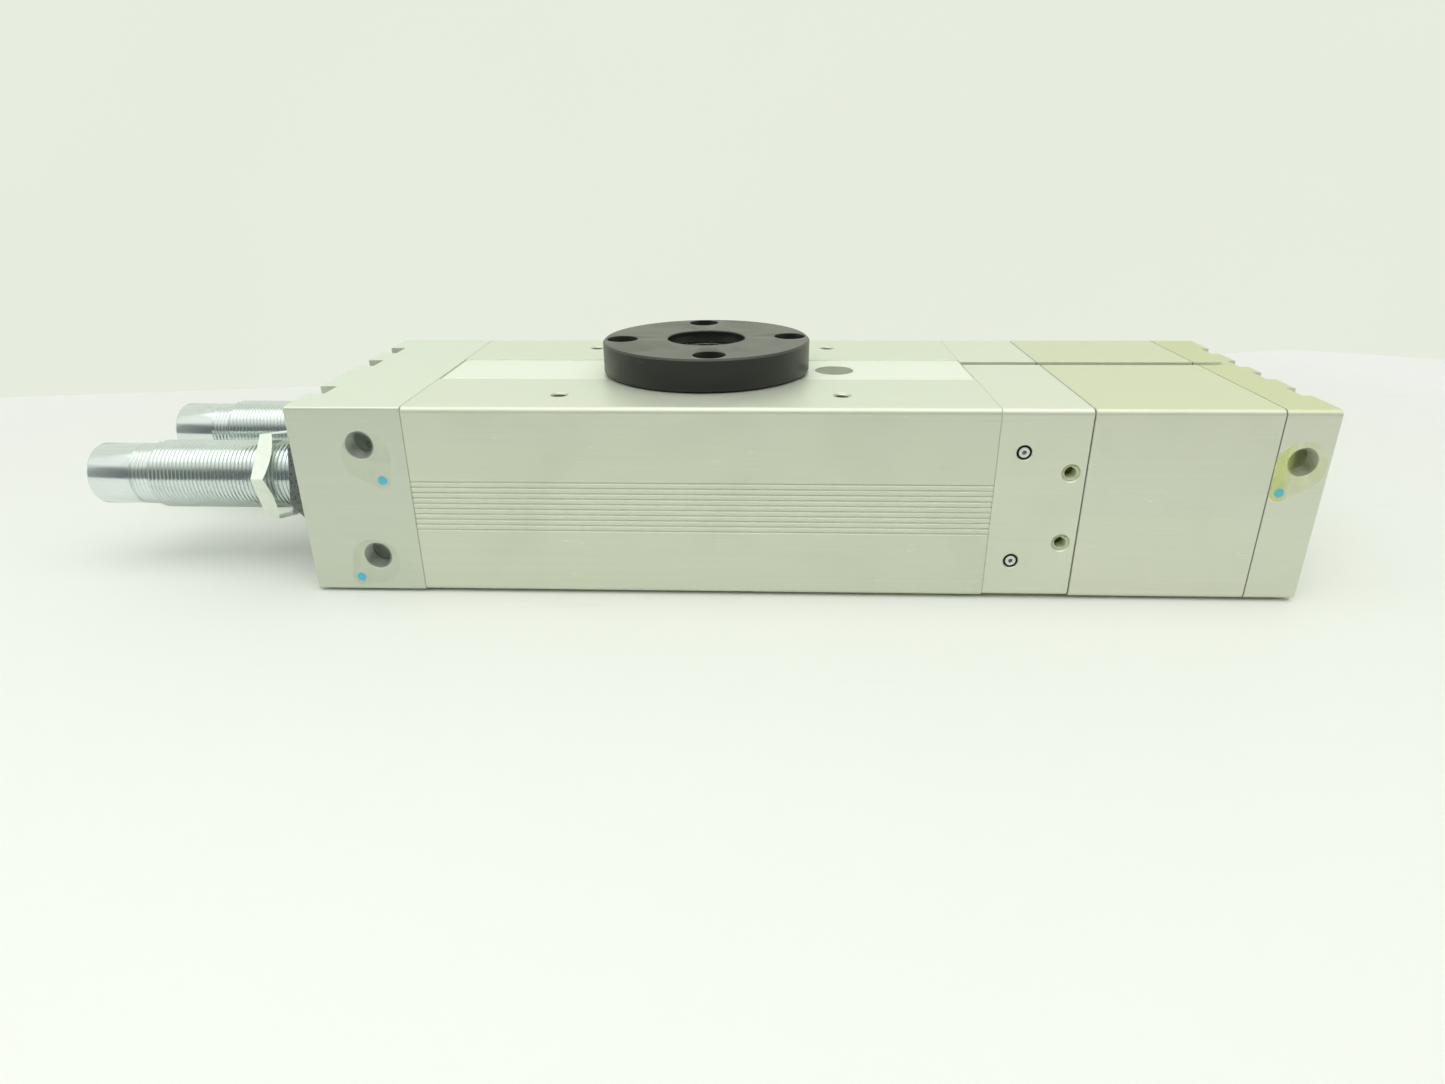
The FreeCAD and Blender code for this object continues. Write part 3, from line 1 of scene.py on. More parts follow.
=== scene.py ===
import json
import math

import bpy
from mathutils import Matrix, Vector


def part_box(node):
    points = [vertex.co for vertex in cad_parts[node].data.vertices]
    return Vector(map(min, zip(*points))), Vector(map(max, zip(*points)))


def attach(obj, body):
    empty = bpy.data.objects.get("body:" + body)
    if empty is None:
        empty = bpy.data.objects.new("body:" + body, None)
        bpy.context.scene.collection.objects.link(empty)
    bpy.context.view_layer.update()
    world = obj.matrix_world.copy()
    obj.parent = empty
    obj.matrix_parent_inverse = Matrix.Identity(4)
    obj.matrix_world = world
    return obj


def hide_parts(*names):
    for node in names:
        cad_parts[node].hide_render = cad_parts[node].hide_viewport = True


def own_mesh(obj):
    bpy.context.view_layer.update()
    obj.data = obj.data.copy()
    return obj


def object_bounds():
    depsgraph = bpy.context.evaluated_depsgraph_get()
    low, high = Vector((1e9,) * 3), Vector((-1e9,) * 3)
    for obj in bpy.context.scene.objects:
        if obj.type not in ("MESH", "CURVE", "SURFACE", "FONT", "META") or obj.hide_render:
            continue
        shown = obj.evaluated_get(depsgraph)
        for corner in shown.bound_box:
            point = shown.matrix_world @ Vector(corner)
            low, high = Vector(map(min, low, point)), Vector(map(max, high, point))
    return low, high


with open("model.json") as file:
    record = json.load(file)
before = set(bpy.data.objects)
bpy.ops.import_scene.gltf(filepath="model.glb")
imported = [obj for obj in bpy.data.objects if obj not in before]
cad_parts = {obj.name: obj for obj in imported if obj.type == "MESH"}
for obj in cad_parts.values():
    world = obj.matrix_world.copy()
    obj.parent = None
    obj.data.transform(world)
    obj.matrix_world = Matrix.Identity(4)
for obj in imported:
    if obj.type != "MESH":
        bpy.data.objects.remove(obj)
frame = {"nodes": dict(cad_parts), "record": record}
CAD_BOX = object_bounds()

bl_info = {
    "name": "Semi-Rotary Drive",
    "version": (1, 0, 0),
    "blender": (4, 5, 0),
    "location": "3D View > Sidebar > Drive",
    "description": "Finishes a twin-piston semi-rotary drive around its construction frame",
    "category": "Object",
}

MM = 0.001
RECORD = frame["record"]
MOUNTS = {mount["name"]: mount for mount in RECORD["mounts"]}
SLOT_OF_NODE = {row["node"]: row["material_slot"] for row in RECORD["subparts"]}
BODY_LOW, BODY_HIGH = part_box("main_housing")
SIDES = ("front", "rear")
CAP_PORTS = ("front_chamber_port", "rear_chamber_port", "stop_retract_port")
SMALL_PORTS = ("front_stop_port", "rear_stop_port")
BEYOND = 1 * MM  # how far a cutter stands out of what it cuts


def dim(mount_name, key):
    """A size of a mount, in metres."""
    return MOUNTS[mount_name]["dims"][key] * MM


# --- Sizes and colours ---------------------------------------------------------------------
def number_setting(name, description, default, **more):
    return bpy.props.FloatProperty(name=name, description=description, default=default, **more)


def mm_setting(name, description, size, precision=5):
    """A length; its default is given in millimetres."""
    return number_setting(name, description, size * MM, precision=precision, unit="LENGTH")


def angle_setting(name, description, degrees):
    return number_setting(name, description, math.radians(degrees), subtype="ANGLE")


def count_setting(name, description, default):
    return bpy.props.IntProperty(name=name, description=description, default=default)


def colour_setting(name, description, *channels):
    return bpy.props.FloatVectorProperty(
        name=name, description=description, default=channels, size=3, subtype="COLOR", min=0, max=1)


class AbsorberSettings(bpy.types.PropertyGroup):
    pitch: mm_setting("Thread pitch", "Advance of the outer thread in one turn", 1.5)
    depth: mm_setting("Thread depth", "Crest to root of the outer thread", 0.8)
    smooth_length: mm_setting("Smooth end", "Length of the plain outer end", 16.6)
    smooth_step: mm_setting("Smooth step", "Thread crest to the plain end's surface", 1.3)
    run_in: count_setting("Run-in turns", "First turns, cut into the plain diameter", 5)
    turns: count_setting("Thread turns", "Turns at the full diameter", 61)
    steps: count_setting("Steps", "Facets in one turn of the thread", 48)
    socket_flats: mm_setting("Socket", "Across flats of the socket in the outer end", 10)
    socket_depth: mm_setting("Socket depth", "Depth of the adjusting socket", 4)
    mouth_bore: mm_setting("Mouth bore", "Diameter of the bore that holds the gland", 19)
    chamfer: mm_setting("Chamfer", "Chamfer at both ends of an absorber", 1)
    rod_room: mm_setting("Rod room", "Radius of the passage behind the pressure tube", 2)


class SpringSettings(bpy.types.PropertyGroup):
    wire: mm_setting("Wire", "Diameter of the return springs' wire", 1)
    pitch: mm_setting("Coil pitch", "Advance of the return springs in one turn", 6)


class FlangeSettings(bpy.types.PropertyGroup):
    shaft_diameter: mm_setting("Shaft", "Diameter of the shaft's head in the flange", 40)
    chamfer: mm_setting("Rim chamfer", "Chamfer round both rims", 0.7)
    sleeve_depth: mm_setting("Seat depth", "Depth of the centring sleeves' seats", 2.6)
    key_diameter: mm_setting("Key hole", "Diameter of the holes of the round keys", 5.1)
    edge: mm_setting("Edge", "Rounding of the holes' edges", 0.22)
    turn: angle_setting("Turn", "Turn of the hole pattern at rest", 5)


class CollarSettings(bpy.types.PropertyGroup):
    nut_flats: mm_setting("Nut", "Across flats of the lock nuts", 32)
    nut_turn: angle_setting("Nut turn", "Turn of the lock nuts about the absorbers", 17.5)
    sleeve_flats: mm_setting("Sleeve", "Across flats of the stop sleeves", 36)
    sleeve_turn: angle_setting("Sleeve turn", "Turn of the stop sleeves about the absorbers", 43)
    outer_chamfer: angle_setting("Outer chamfer", "Slope of the chamfer on a nut's outer face", 12)
    inner_chamfer: angle_setting("Inner chamfer", "Slope of the chamfer towards the cap", 28)
    face_share: number_setting(
        "Face circle", "Circle of a chamfered face as a share of the size across flats", 0.99,
        precision=3)
    mouth: mm_setting("Mouth", "Depth of the countersink at both ends of a collar's bore", 0.6)
    edge: mm_setting("Edge", "Rounding of the collars' edges", 0.2)
    play: mm_setting("Play", "Between a collar's bore and the thread's crests", 0.05, 6)


class HoleSettings(bpy.types.PropertyGroup):
    port_pitch: mm_setting("Port pitch", "Thread pitch of the large ports", 0.907)
    small_port_pitch: mm_setting("Small port pitch", "Thread pitch of the small ports", 0.8)
    mount_pitch: mm_setting("Mounting pitch", "Thread pitch of the mounting holes", 1)
    flange_pitch: mm_setting("Flange pitch", "Thread pitch of the flange's holes", 1.25)
    mount_depth: mm_setting("Mounting depth", "Threaded depth of the mounting holes", 11)


class FilmSettings(bpy.types.PropertyGroup):
    radius: mm_setting("Film radius", "Radius of a port film's round part", 8.6)
    tail_radius: mm_setting("Tail radius", "Radius of a port film's pull tab", 3.1)
    dot_radius: mm_setting("Dot radius", "Radius of the blue dot on the pull tab", 1.65)
    thickness: mm_setting("Film thickness", "Thickness of a port film", 0.06, 6)
    ink: mm_setting("Ink thickness", "Thickness of the printed dot", 0.02, 6)
    tint: colour_setting("Film tint", "Colour of the clear film", 0.58, 0.66, 0.48)
    old_tint: colour_setting(
        "Old film tint", "Colour of the film with old glue behind it", 0.80, 0.87, 0.32)
    dot: colour_setting("Dot", "Colour of the dot", 0.10, 0.47, 0.62)


class FinishSettings(bpy.types.PropertyGroup):
    body: colour_setting("Body", "Aluminium of the main housing", 0.72, 0.765, 0.62)
    strip: colour_setting("Strip", "Milled strip along the top", 0.93, 0.97, 0.86)
    cap: colour_setting("Left cap", "Aluminium of the absorbers' end cap", 0.665, 0.715, 0.595)
    plate: colour_setting("Plate", "Aluminium of the plate", 0.755, 0.795, 0.65)
    module: colour_setting("Module", "Aluminium of the stop module", 0.755, 0.785, 0.65)
    # Painted light: faces that look up get a top colour of their own. It is lighter on the body,
    # the left cap and the plate, and darker and yellower on the module and the right cap.
    module_top_light: colour_setting("Module top", "Yellower top of the module", 0.735, 0.765, 0.54)
    cap_top_light: colour_setting("Right cap top", "Yellowest top, on the right cap", 0.68, 0.71, 0.415)
    body_top_light: colour_setting("Body top", "Cleaner top of the main housing", 0.795, 0.84, 0.71)
    left_top_light: colour_setting("Left cap top", "Cleaner top of the left cap", 0.83, 0.885, 0.77)
    plate_top_light: colour_setting("Plate top", "Cleaner top of the plate", 0.81, 0.85, 0.72)
    # Seam and Faint seam are painted shade, laid in the seams between the housings.
    seam: colour_setting("Seam", "Grime in the seams round the module", 0.075, 0.078, 0.058)
    faint_seam: colour_setting("Faint seam", "Grime at the main housing's ends", 0.48, 0.51, 0.40)
    # Port is painted shade, laid inside the large ports and stronger with depth.
    port: colour_setting("Port", "Inside of the large ports", 0.18, 0.25, 0.26)
    small_port: colour_setting("Small port", "Inside of the small ports", 0.72, 0.78, 0.47)
    flange: colour_setting("Flange", "Black oxide of the flange's edge", 0.009, 0.010, 0.0065)
    # Flange top is a painted sheen: the reflection of the bright room on the face that looks up.
    flange_top_sheen: colour_setting("Flange top", "Rubbed face of the flange", 0.10, 0.105, 0.07)
    zinc: colour_setting("Zinc", "Bright zinc of the absorbers", 0.79, 0.85, 0.84)


class StageSettings(bpy.types.PropertyGroup):
    lens: number_setting("Lens", "Focal length of the camera in millimetres", 22.595)
    gap: mm_setting("Gap", "Between the floor and the object's lowest point", 1.1)
    floor: colour_setting("Floor", "Colour of the floor", 0.875, 0.89, 0.85)
    wall: colour_setting("Wall", "Colour of the back wall", 0.80, 0.845, 0.74)
    overhead: number_setting("Overhead lamp", "Power of the large lamp above", 78, unit="POWER")
    fill: number_setting("Fill lamp", "Power of the lamp beside the camera", 1.3, unit="POWER")
    sky: number_setting("Room light", "Strength of the light from all round", 0.7)


# --- Modelling by hand ---------------------------------------------------------------------
def clear_selection():
    if bpy.context.mode != "OBJECT":
        bpy.ops.object.mode_set(mode="OBJECT")
    bpy.ops.object.select_all(action="DESELECT")


def take(piece):
    clear_selection()
    piece.select_set(True)
    bpy.context.view_layer.objects.active = piece


def added(name):
    """Names the primitive that was just added."""
    piece = bpy.context.object
    piece.name = name
    piece.data.name = name
    return piece


def settle(piece):
    """Puts a piece's place, turn and scale into its mesh."""
    take(piece)
    bpy.ops.object.transform_apply(location=True, rotation=True, scale=True)


def apply_modifier(piece, kind, **values):
    take(piece)
    bpy.ops.object.modifier_add(type=kind)
    modifier = piece.modifiers[-1]
    for key, value in values.items():
        setattr(modifier, key, value)
    bpy.ops.object.modifier_apply(modifier=modifier.name)


def round_edges(piece, width, segments=2, **values):
    apply_modifier(
        piece, "BEVEL", width=width, segments=segments, limit_method="ANGLE", **values)


def edit(piece, *steps):
    """Runs mesh operators, each with its values, on all of a piece in edit mode."""
    take(piece)
    bpy.ops.object.mode_set(mode="EDIT")
    for operator, values in steps:
        bpy.ops.mesh.select_all(action="SELECT")
        operator(**values)
    bpy.ops.object.mode_set(mode="OBJECT")


def close_up(piece, sides=6):
    """Merges doubles, fills open ends of up to so many sides and turns every face outwards."""
    edit(
        piece,
        (bpy.ops.mesh.remove_doubles, {"threshold": 0.5e-6}),
        (bpy.ops.mesh.fill_holes, {"sides": sides}),
        (bpy.ops.mesh.normals_make_consistent, {"inside": False}))


def smooth(piece, degrees):
    take(piece)
    bpy.ops.object.shade_smooth_by_angle(angle=math.radians(degrees))


def drawn_line(name, points, closed):
    """A wire drawn by extruding one corner from point to point."""
    clear_selection()
    bpy.ops.mesh.primitive_plane_add(size=MM, location=points[0])
    piece = added(name)
    settle(piece)
    bpy.ops.object.mode_set(mode="EDIT")
    bpy.ops.mesh.select_all(action="SELECT")
    bpy.ops.mesh.merge(type="CENTER")
    for here, there in zip(points, points[1:]):
        step = Vector(there) - Vector(here)
        bpy.ops.mesh.extrude_region_move(TRANSFORM_OT_translate={"value": step})
    bpy.ops.object.mode_set(mode="OBJECT")
    if closed:
        edit(piece, (bpy.ops.mesh.edge_face_add, {}), (bpy.ops.mesh.delete, {"type": "ONLY_FACE"}))
    return piece


def spun(piece, axis, steps, **values):
    """Winds a wire round an axis into a closed shape."""
    apply_modifier(piece, "SCREW", axis=axis, steps=steps, render_steps=steps, **values)
    close_up(piece)
    return piece


def turned(name, outline, axis, steps):
    """Closed shape turned about X or Z; the outline is (along, radius) pairs, right round."""
    points = [
        (along, 0, radius) if axis == "X" else (radius, 0, along) for along, radius in outline]
    wire = drawn_line(name, points, closed=True)
    return spun(wire, axis, steps, use_merge_vertices=True, merge_threshold=1e-7)


def helix_ridge(name, base_radius, depth, pitch, turns, steps, inwards=False):
    """Closed V ridge wound about X from X = 0, with its foot sunk into what it stands on."""
    sink = 0.05 * MM
    way = -1 if inwards else 1
    foot = base_radius - way * sink
    crest = base_radius + way * depth
    profile = [(share * pitch, 0, radius) for share, radius in (
        (0.0, foot), (0.38, crest), (0.50, crest), (0.88, foot))]
    wire = drawn_line(name, profile, closed=True)
    return spun(wire, "X", steps, screw_offset=pitch, iterations=turns)


def rod(name, radius, start, end, vertices):
    """Cylinder between two points on a line along X, Y or Z."""
    start, end = Vector(start), Vector(end)
    clear_selection()
    bpy.ops.mesh.primitive_cylinder_add(
        vertices=vertices, radius=radius, depth=(end - start).length, location=(start + end) / 2,
        rotation=(end - start).to_track_quat("Z", "Y").to_euler())
    piece = added(name)
    settle(piece)
    return piece


def combine(piece, other, operation="DIFFERENCE"):
    """Cuts, intersects or unites a piece with another one, which is used up."""
    apply_modifier(piece, "BOOLEAN", operation=operation, solver="EXACT", object=other)
    bpy.data.objects.remove(other)


def join(pieces):
    take(pieces[0])
    for other in pieces[1:]:
        other.select_set(True)
    bpy.ops.object.join()
    return pieces[0]


def move(piece, offset):
    take(piece)
    bpy.ops.transform.translate(value=offset)
    settle(piece)


def turn(piece, degrees, axis):
    """Turns a piece about one of the frame's axes."""
    piece.matrix_world = Matrix.Rotation(math.radians(degrees), 4, axis) @ piece.matrix_world
    settle(piece)


def copy_of(piece, name):
    take(piece)
    bpy.ops.object.duplicate(linked=False)
    return added(name)


def round_places(count, reach, first_angle):
    """X and Y of evenly spaced places on a circle about Z."""
    angles = [first_angle + 2 * math.pi * index / count for index in range(count)]
    return [(reach * math.cos(angle), reach * math.sin(angle)) for angle in angles]


# --- Shader building blocks ----------------------------------------------------------------
def feed(tree, node, inputs):
    """Links sockets to a node's inputs and writes plain values into them."""
    for key, value in inputs.items():
        if isinstance(value, bpy.types.NodeSocket):
            tree.links.new(value, node.inputs[key])
        else:
            node.inputs[key].default_value = value


def shader_node(tree, kind, inputs=None, **settings):
    node = tree.nodes.new("ShaderNode" + kind)
    for key, value in settings.items():
        setattr(node, key, value)
    feed(tree, node, inputs or {})
    return node


def calc(tree, operation, first, second=0.0, clamp=False):
    node = shader_node(tree, "Math", {0: first, 1: second}, operation=operation, use_clamp=clamp)
    return node.outputs[0]


def plus_share(tree, value, mask, share):
    """The value, raised by a share of the mask."""
    return calc(tree, "ADD", value, calc(tree, "MULTIPLY", mask, share))


def vector_calc(tree, operation, first, second=(0, 0, 0)):
    node = shader_node(tree, "VectorMath", {0: first, 1: second}, operation=operation)
    return node.outputs["Value" if operation in ("LENGTH", "DOT_PRODUCT") else "Vector"]


def coordinate(tree, vector, axis):
    return shader_node(tree, "SeparateXYZ", {0: vector}).outputs[axis]


def spread(tree, value, low, high, to_low=0.0, to_high=1.0):
    """Stretches low..high to to_low..to_high and stops at both ends."""
    inputs = {
        "Value": value, "From Min": low, "From Max": high, "To Min": to_low, "To Max": to_high}
    return shader_node(tree, "MapRange", inputs).outputs["Result"]


def blended(tree, mask, first, second):
    """Colour that goes from first to second as the mask goes from 0 to 1."""
    node = shader_node(tree, "Mix", {0: mask, 6: first, 7: second}, data_type="RGBA")
    return node.outputs[2]


def object_place(tree):
    return shader_node(tree, "TexCoord").outputs["Object"]


def noise(tree, place, scale, detail, **more):
    inputs = {"Vector": place, "Scale": scale, "Detail": detail, **more}
    return shader_node(tree, "TexNoise", inputs).outputs["Fac"]


EFFECT_BUILDERS = []


def shared_effect(name, **inputs):
    """Marks a function that fills in the group of that name and returns its outputs by name."""
    def keep(fill):
        EFFECT_BUILDERS.append((name, inputs, fill))
        return fill
    return keep


def socket_kind(is_vector):
    return "NodeSocketVector" if is_vector else "NodeSocketFloat"


def build_effect(name, inputs, fill):
    """Makes a shared effect's group; only an output called Normal is a vector."""
    group = bpy.data.node_groups.new(name, "ShaderNodeTree")
    add_socket = group.interface.new_socket
    for label, default in inputs.items():
        kind = socket_kind(isinstance(default, tuple))
        add_socket(name=label, in_out="INPUT", socket_type=kind).default_value = default
    results = fill(group, group.nodes.new("NodeGroupInput").outputs)
    for label in results:
        add_socket(name=label, in_out="OUTPUT", socket_type=socket_kind(label == "Normal"))
    feed(group, group.nodes.new("NodeGroupOutput"), results)


@shared_effect("drawn grain", Stretch=(20, 1500, 1500), Contrast=1.0)
def fill_drawn_grain(group, entry):
    """Fine streaks left by drawing or brushing, stretched along one way."""
    place = vector_calc(group, "MULTIPLY", object_place(group), entry["Stretch"])
    centred = calc(group, "SUBTRACT", noise(group, place, 1.0, 5.0, Roughness=0.7), 0.5)
    scaled = calc(group, "MULTIPLY", centred, entry["Contrast"])
    return {"Grain": calc(group, "ADD", scaled, 0.5, clamp=True)}


@shared_effect("smudges", Scale=30.0, Threshold=0.5)
def fill_smudges(group, entry):
    """Soft patches, as from handling."""
    patches = noise(
        group, object_place(group), entry["Scale"], 4.0, Roughness=0.55, Distortion=0.8)
    ceiling = calc(group, "ADD", entry["Threshold"], 0.22)
    return {"Mask": spread(group, patches, entry["Threshold"], ceiling)}


@shared_effect("scratches", Scale=1.0, Width=0.004)
def fill_scratches(group, entry):
    """Long thin scratches in two directions, broken up by a coarse noise."""
    place = vector_calc(group, "MULTIPLY", object_place(group), entry["Scale"])
    lines = []
    for tilt, stretch in (((0.1, 0.2, 0.5), (9, 160, 160)), ((0.3, -0.7, -0.25), (7, 190, 190))):
        inputs = {"Vector": place, "Rotation": tilt, "Scale": stretch}
        streaks = noise(group, shader_node(group, "Mapping", inputs).outputs[0], 1.0, 1.0)
        off_line = calc(group, "SUBTRACT", streaks, 0.5)
        lines.append(calc(group, "LESS_THAN", calc(group, "ABSOLUTE", off_line), entry["Width"]))
    broken = spread(group, noise(group, place, 45.0, 2.0), 0.56, 0.62)
    return {"Mask": calc(group, "MULTIPLY", calc(group, "MAXIMUM", *lines), broken)}


@shared_effect("edge wear and highlight", Radius=0.3 * MM, Breakup=0.5)
def fill_edge_wear_and_highlight(group, entry):
    """Worn edges that also carry a painted highlight: where a rounded normal leaves the true one,
    broken up by noise.
    """
    rounded = shader_node(group, "Bevel", {"Radius": entry["Radius"]}, samples=4).outputs["Normal"]
    true_normal = shader_node(group, "NewGeometry").outputs["Normal"]
    same = vector_calc(group, "DOT_PRODUCT", rounded, true_normal)
    edge = spread(group, calc(group, "SUBTRACT", 1.0, same), 0.02, 0.2)
    floor = calc(group, "SUBTRACT", entry["Breakup"], 0.12)
    broken_up = spread(group, noise(group, object_place(group), 420.0, 3.0), floor, 0.62)
    return {"Mask": calc(group, "MULTIPLY", edge, broken_up, clamp=True), "Normal": rounded}


@shared_effect("speckle", Scale=2500.0)
def fill_speckle(group, entry):
    """Fine pits or grain of an even, coarse surface."""
    place = object_place(group)
    coarse = calc(group, "MULTIPLY", entry["Scale"], 0.6)
    cells = shader_node(group, "TexVoronoi", {"Vector": place, "Scale": coarse})
    return {
        "Height": noise(group, place, entry["Scale"], 3.0, Roughness=0.6),
        "Mask": spread(group, cells.outputs["Distance"], 0.05, 0.45)}


@shared_effect("turned marks", Rings=2200.0)
def fill_turned_marks(group, entry):
    """Rings left by the lathe on faces turned about the output axis."""
    flat = vector_calc(group, "MULTIPLY", object_place(group), (1, 1, 0))
    rings = calc(group, "MULTIPLY", vector_calc(group, "LENGTH", flat), entry["Rings"])
    inputs = {"W": rings, "Scale": 1.0, "Detail": 4.0}
    marks = shader_node(group, "TexNoise", inputs, noise_dimensions="1D")
    return {"Marks": marks.outputs["Fac"]}


@shared_effect("seam shade", Low=0.0, High=0.0, Width=0.3 * MM)
def fill_seam_shade(group, entry):
    """Painted shade beside the two end faces of a housing, at X = Low and X = High, where the seams
    are.
    """
    place = coordinate(group, object_place(group), "X")
    gaps = [
        calc(group, "ABSOLUTE", calc(group, "SUBTRACT", place, entry[end]))
        for end in ("Low", "High")]
    share = calc(group, "DIVIDE", calc(group, "MINIMUM", *gaps), entry["Width"])
    return {"Mask": calc(group, "SUBTRACT", 1.0, share, clamp=True)}


@shared_effect("bore shade", Centre=(0, 0, 0), Radius=5 * MM, Depth=20 * MM)
def fill_bore_shade(group, entry):
    """The inside of a port that opens to -Y at Centre, darker with depth."""
    offset = vector_calc(group, "SUBTRACT", object_place(group), entry["Centre"])
    reach = vector_calc(group, "LENGTH", vector_calc(group, "MULTIPLY", offset, (1, 0, 1)))
    inside = calc(group, "LESS_THAN", reach, calc(group, "MULTIPLY", entry["Radius"], 1.03))
    below = coordinate(group, offset, "Y")
    under_face = calc(group, "GREATER_THAN", below, 0.2 * MM)
    above_floor = calc(group, "LESS_THAN", below, entry["Depth"])
    inside = calc(group, "MULTIPLY", inside, calc(group, "MULTIPLY", under_face, above_floor))
    deeper = spread(group, below, 0.15 * MM, 3 * MM, 0.55, 1.0)
    return {"Mask": calc(group, "MULTIPLY", inside, deeper)}


def effect(tree, name, **values):
    """Places a shared effect with values for its inputs and returns its outputs."""
    node = tree.nodes.new("ShaderNodeGroup")
    node.node_tree = bpy.data.node_groups[name]
    feed(tree, node, values)
    return node.outputs


def new_material(name):
    """A new material with its tree and the shader in it."""
    material = bpy.data.materials.new(name)
    material.use_nodes = True
    tree = material.node_tree
    return material, tree, tree.nodes["Principled BSDF"]


def solid(colour):
    return (*colour, 1.0)


def tinted(colour, factor):
    return solid([min(1.0, channel * factor) for channel in colour])


def toned(tree, colour, mask, low, high):
    """The colour times low where the mask is 0, and times high where it is 1."""
    return blended(tree, mask, tinted(colour, low), tinted(colour, high))


def layered(tree, colour, shade, *layers):
    """Lays the colour times a factor, or a colour of its own, over a shade by mask and share."""
    for mask, share, over in layers:
        over = tinted(colour, over) if isinstance(over, float) else solid(over)
        shade = blended(tree, calc(tree, "MULTIPLY", mask, share), shade, over)
    return shade


def bump(tree, shader, height, distance, normal=None, strength=1.0):
    inputs = {"Height": height, "Distance": distance, "Strength": strength}
    if normal is not None:
        inputs["Normal"] = normal
    feed(tree, shader, {"Normal": shader_node(tree, "Bump", inputs).outputs["Normal"]})


# --- Materials -----------------------------------------------------------------------------
def top_mask(tree):
    """1 on the faces that look up, 0 elsewhere."""
    normal = shader_node(tree, "NewGeometry").outputs["True Normal"]
    return spread(tree, coordinate(tree, normal, "Z"), 0.5, 0.9)


def strip_mask(tree):
    """1 on the milled strip along the middle of the top and on its low side walls, 0 elsewhere."""
    # A little wider than the strip, so that its side walls take the strip's pale colour: a painted
    # highlight there.
    half_width = 17.53 * MM
    plug_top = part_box("top_plug")[1].z
    place = object_place(tree)
    off_middle = calc(tree, "ABSOLUTE", coordinate(tree, place, "Y"))
    inside = calc(tree, "LESS_THAN", off_middle, half_width)
    high = calc(tree, "GREATER_THAN", coordinate(tree, place, "Z"), plug_top)
    return calc(tree, "MULTIPLY", inside, high)


def aluminium(name, colour, seams, strip, top, bores):
    """Satin anodised extrusion with streaks along X, faint stains and a few scratches.

    seams holds the X of both end faces, and the width and colour of the painted seam shade. strip
    is the colour of a milled strip or None, and top the colour of faces that look up, which is
    painted light from above. bores holds the X, Z, radius and inner colour of each port.
    """
    material, tree, shader = new_material(name)
    grain = effect(tree, "drawn grain", Stretch=(14, 1300, 1300), Contrast=1.1)["Grain"]
    broad = effect(tree, "drawn grain", Stretch=(5, 210, 210), Contrast=0.8)["Grain"]
    stain = effect(tree, "smudges", Scale=26.0, Threshold=0.52)["Mask"]
    scratch = effect(tree, "scratches", Scale=1.3, Width=0.0022)["Mask"]
    edges = effect(tree, "edge wear and highlight", Radius=0.35 * MM, Breakup=0.42)
    low, high, width, seam_shade_colour = seams
    seam = effect(tree, "seam shade", Low=low, High=high, Width=width)["Mask"]
    # Broad streaks and stains, then the top colour on faces that look up: painted light from above.
    shade = layered(
        tree, colour, toned(tree, colour, grain, 0.93, 1.06),
        (broad, 0.28, 0.86), (stain, 0.22, 0.84), (top_mask(tree), 0.85, top))
    # The milled strip's own pale tone, which also lies on its side walls as a painted highlight.
    if strip is not None:
        shade = blended(tree, strip_mask(tree), shade, solid(strip))
    # Scratches lighten, and so do the edges: worn metal with a painted highlight along them.
    shade = layered(tree, colour, shade, (scratch, 0.28, 1.3), (edges["Mask"], 0.7, 1.35))
    # Painted shade in the seams.
    shade = blended(tree, seam, shade, solid(seam_shade_colour))
    dull = seam
    for x, z, radius, inner in bores:
        bore = effect(tree, "bore shade", Centre=(x, BODY_LOW.y, z), Radius=radius)["Mask"]
        shade = blended(tree, bore, shade, solid(inner))
        dull = calc(tree, "MAXIMUM", dull, bore)
    rough = plus_share(tree, spread(tree, grain, 0.2, 0.8, 0.40, 0.50), stain, 0.07)
    polish = calc(tree, "MULTIPLY", edges["Mask"], 0.14)
    feed(tree, shader, {
        "Base Color": shade,
        "Metallic": spread(tree, dull, 0.0, 1.0, 0.55, 0.12),
        "Roughness": calc(tree, "SUBTRACT", rough, polish, clamp=True)})
    bump(tree, shader, grain, 0.006 * MM, edges["Normal"], 0.5)
    return material


def black_flange(name, colour, top):
    """Blackened steel, lathe-turned, with a painted sheen on its upper face and a lighter rim, worn
    and partly a painted highlight.
    """
    material, tree, shader = new_material(name)
    marks = effect(tree, "turned marks", Rings=2600.0)["Marks"]
    stain = effect(tree, "smudges", Scale=48.0, Threshold=0.46)["Mask"]
    scratch = effect(tree, "scratches", Scale=1.4, Width=0.004)["Mask"]
    edges = effect(tree, "edge wear and highlight", Radius=0.3 * MM, Breakup=0.40)
    pits = effect(tree, "speckle", Scale=1800.0)["Height"]
    # The face that looks up takes the sheen colour, a painted reflection of the bright room. The
    # edges are lightened by wear and by a painted highlight.
    shade = layered(
        tree, colour, toned(tree, colour, marks, 0.75, 1.35),
        (stain, 0.5, 2.0), (top_mask(tree), 0.6, top),
        (scratch, 0.5, 6.0), (edges["Mask"], 0.55, 7.0))
    feed(tree, shader, {
        "Base Color": shade, "Specular IOR Level": 0.48,
        "Roughness": plus_share(tree, spread(tree, stain, 0.0, 1.0, 0.27, 0.36), marks, 0.08)})
    bump(tree, shader, plus_share(tree, marks, pits, 0.7), 0.008 * MM, edges["Normal"], 0.6)
    return material


